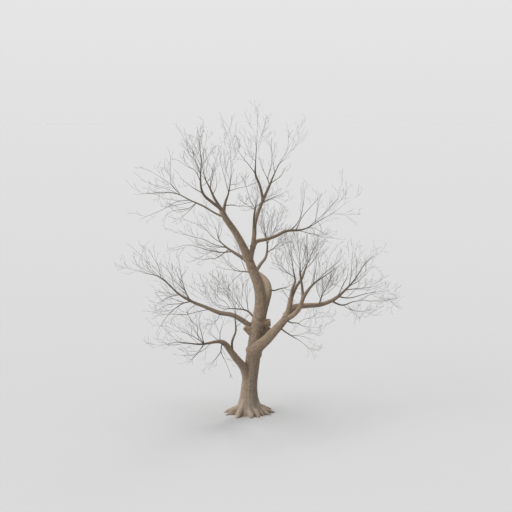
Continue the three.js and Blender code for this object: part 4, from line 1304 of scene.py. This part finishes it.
def mesh_from_arrays(name, vertices, faces, colours):
    """A mesh of triangles."""
    mesh = bpy.data.meshes.new(name)
    mesh.vertices.add(len(vertices))
    mesh.vertices.foreach_set("co", vertices.astype(np.float32).ravel())
    mesh.loops.add(faces.size)
    mesh.loops.foreach_set("vertex_index", faces.astype(np.int32).ravel())
    mesh.polygons.add(len(faces))
    mesh.polygons.foreach_set("loop_start", np.arange(0, faces.size, 3, dtype=np.int32))
    mesh.polygons.foreach_set("material_index", colours.astype(np.int32))
    mesh.update(calc_edges=True)
    mesh.shade_smooth()
    return mesh


print("faces of a twig by level:", [len(twig_faces(*growth[-2:])) for growth in GROWTH])

# %% [markdown]
# ## Twig colours
# Dead twigs weather to dull grey browns. Each spray, with all that grows on it, takes one of four
# plain colours, because a pattern would be lost on things this thin.

# %% Paint the twigs
TWIG_COLOURS = [
    (0.085, 0.073, 0.058),
    (0.100, 0.083, 0.064),
    (0.070, 0.063, 0.052),
    (0.115, 0.100, 0.082),
]
twig_paints = []
for i, colour in enumerate(TWIG_COLOURS):
    paint = bpy.data.materials.new(f"dead_twig_{i}")
    paint.use_nodes = True
    shader = paint.node_tree.nodes["Principled BSDF"]
    shader.inputs["Base Color"].default_value = (*colour, 1)
    shader.inputs["Roughness"].default_value = WOOD_ROUGHNESS
    shader.inputs["Specular IOR Level"].default_value = WOOD_SHINE
    twig_paints.append(paint)
print(len(twig_paints), "twig colours")

# %% [markdown]
# ## The masses
# Every mass grows on from its stem and arms, level by level, down to the finest twigs.

# %% Grow the masses
TREE_SEED = 3
ARM_SEEDS = 100  # keeps the arms' seeds apart from the twigs'


def mass_levels(limb, mass):
    """The twigs of a mass, level by level."""
    seed = child_seeds([TREE_SEED], mass)
    first = []
    for i, (points, radii) in enumerate(mass_lines[mass]):
        own_seed = seed if i == 0 else child_seeds(seed, i - 1 + ARM_SEEDS)
        spine = Twigs(points[None], radii[None], own_seed, own_seed)
        first.append(with_room(side_twigs(spine, 0, limb.get("twiggy", 1.0)), mass))
    levels = [Twigs(*(np.concatenate(part) for part in zip(*first)))]
    for level in range(1, len(GROWTH)):
        levels.append(with_room(side_twigs(levels[-1], level), mass))
    return levels


total = 0
for mass, limb in enumerate(CARRIERS):
    vertices, faces, colours = [], [], []
    offset = 0
    for twigs, growth in zip(mass_levels(limb, mass), GROWTH):
        count, sides = growth[-2:]
        pattern = twig_faces(count, sides)
        placed = twig_vertices(twigs, sides)
        size = placed.shape[1]
        shifts = offset + size * np.arange(len(placed))
        vertices.append(placed.reshape(-1, 3))
        faces.append((pattern[None] + shifts[:, None, None]).reshape(-1, 3))
        colours.append(np.repeat(twigs.sprays % len(twig_paints), len(pattern)))
        offset += size * len(placed)
    mesh = mesh_from_arrays(
        "twigs_" + limb["name"],
        np.concatenate(vertices),
        np.concatenate(faces),
        np.concatenate(colours),
    )
    for paint in twig_paints:
        mesh.materials.append(paint)
    twig_piece = bpy.data.objects.new(mesh.name, mesh)
    bpy.context.collection.objects.link(twig_piece)
    place_piece(twig_piece, "twig_wood", limb["name"] + "_twigs")
    total += len(mesh.polygons)
    print(mesh.name, len(mesh.polygons), "faces")
print(total, "faces of twigs")

# %% [markdown]
# ## Sizes and the end
# The twigs keep close to the frame's box, and that box is printed again here. The finished
# tree has to stay close to the frame's box.

# %% Print the frame's box
print("frame box", [tuple(corner) for corner in cad_box])
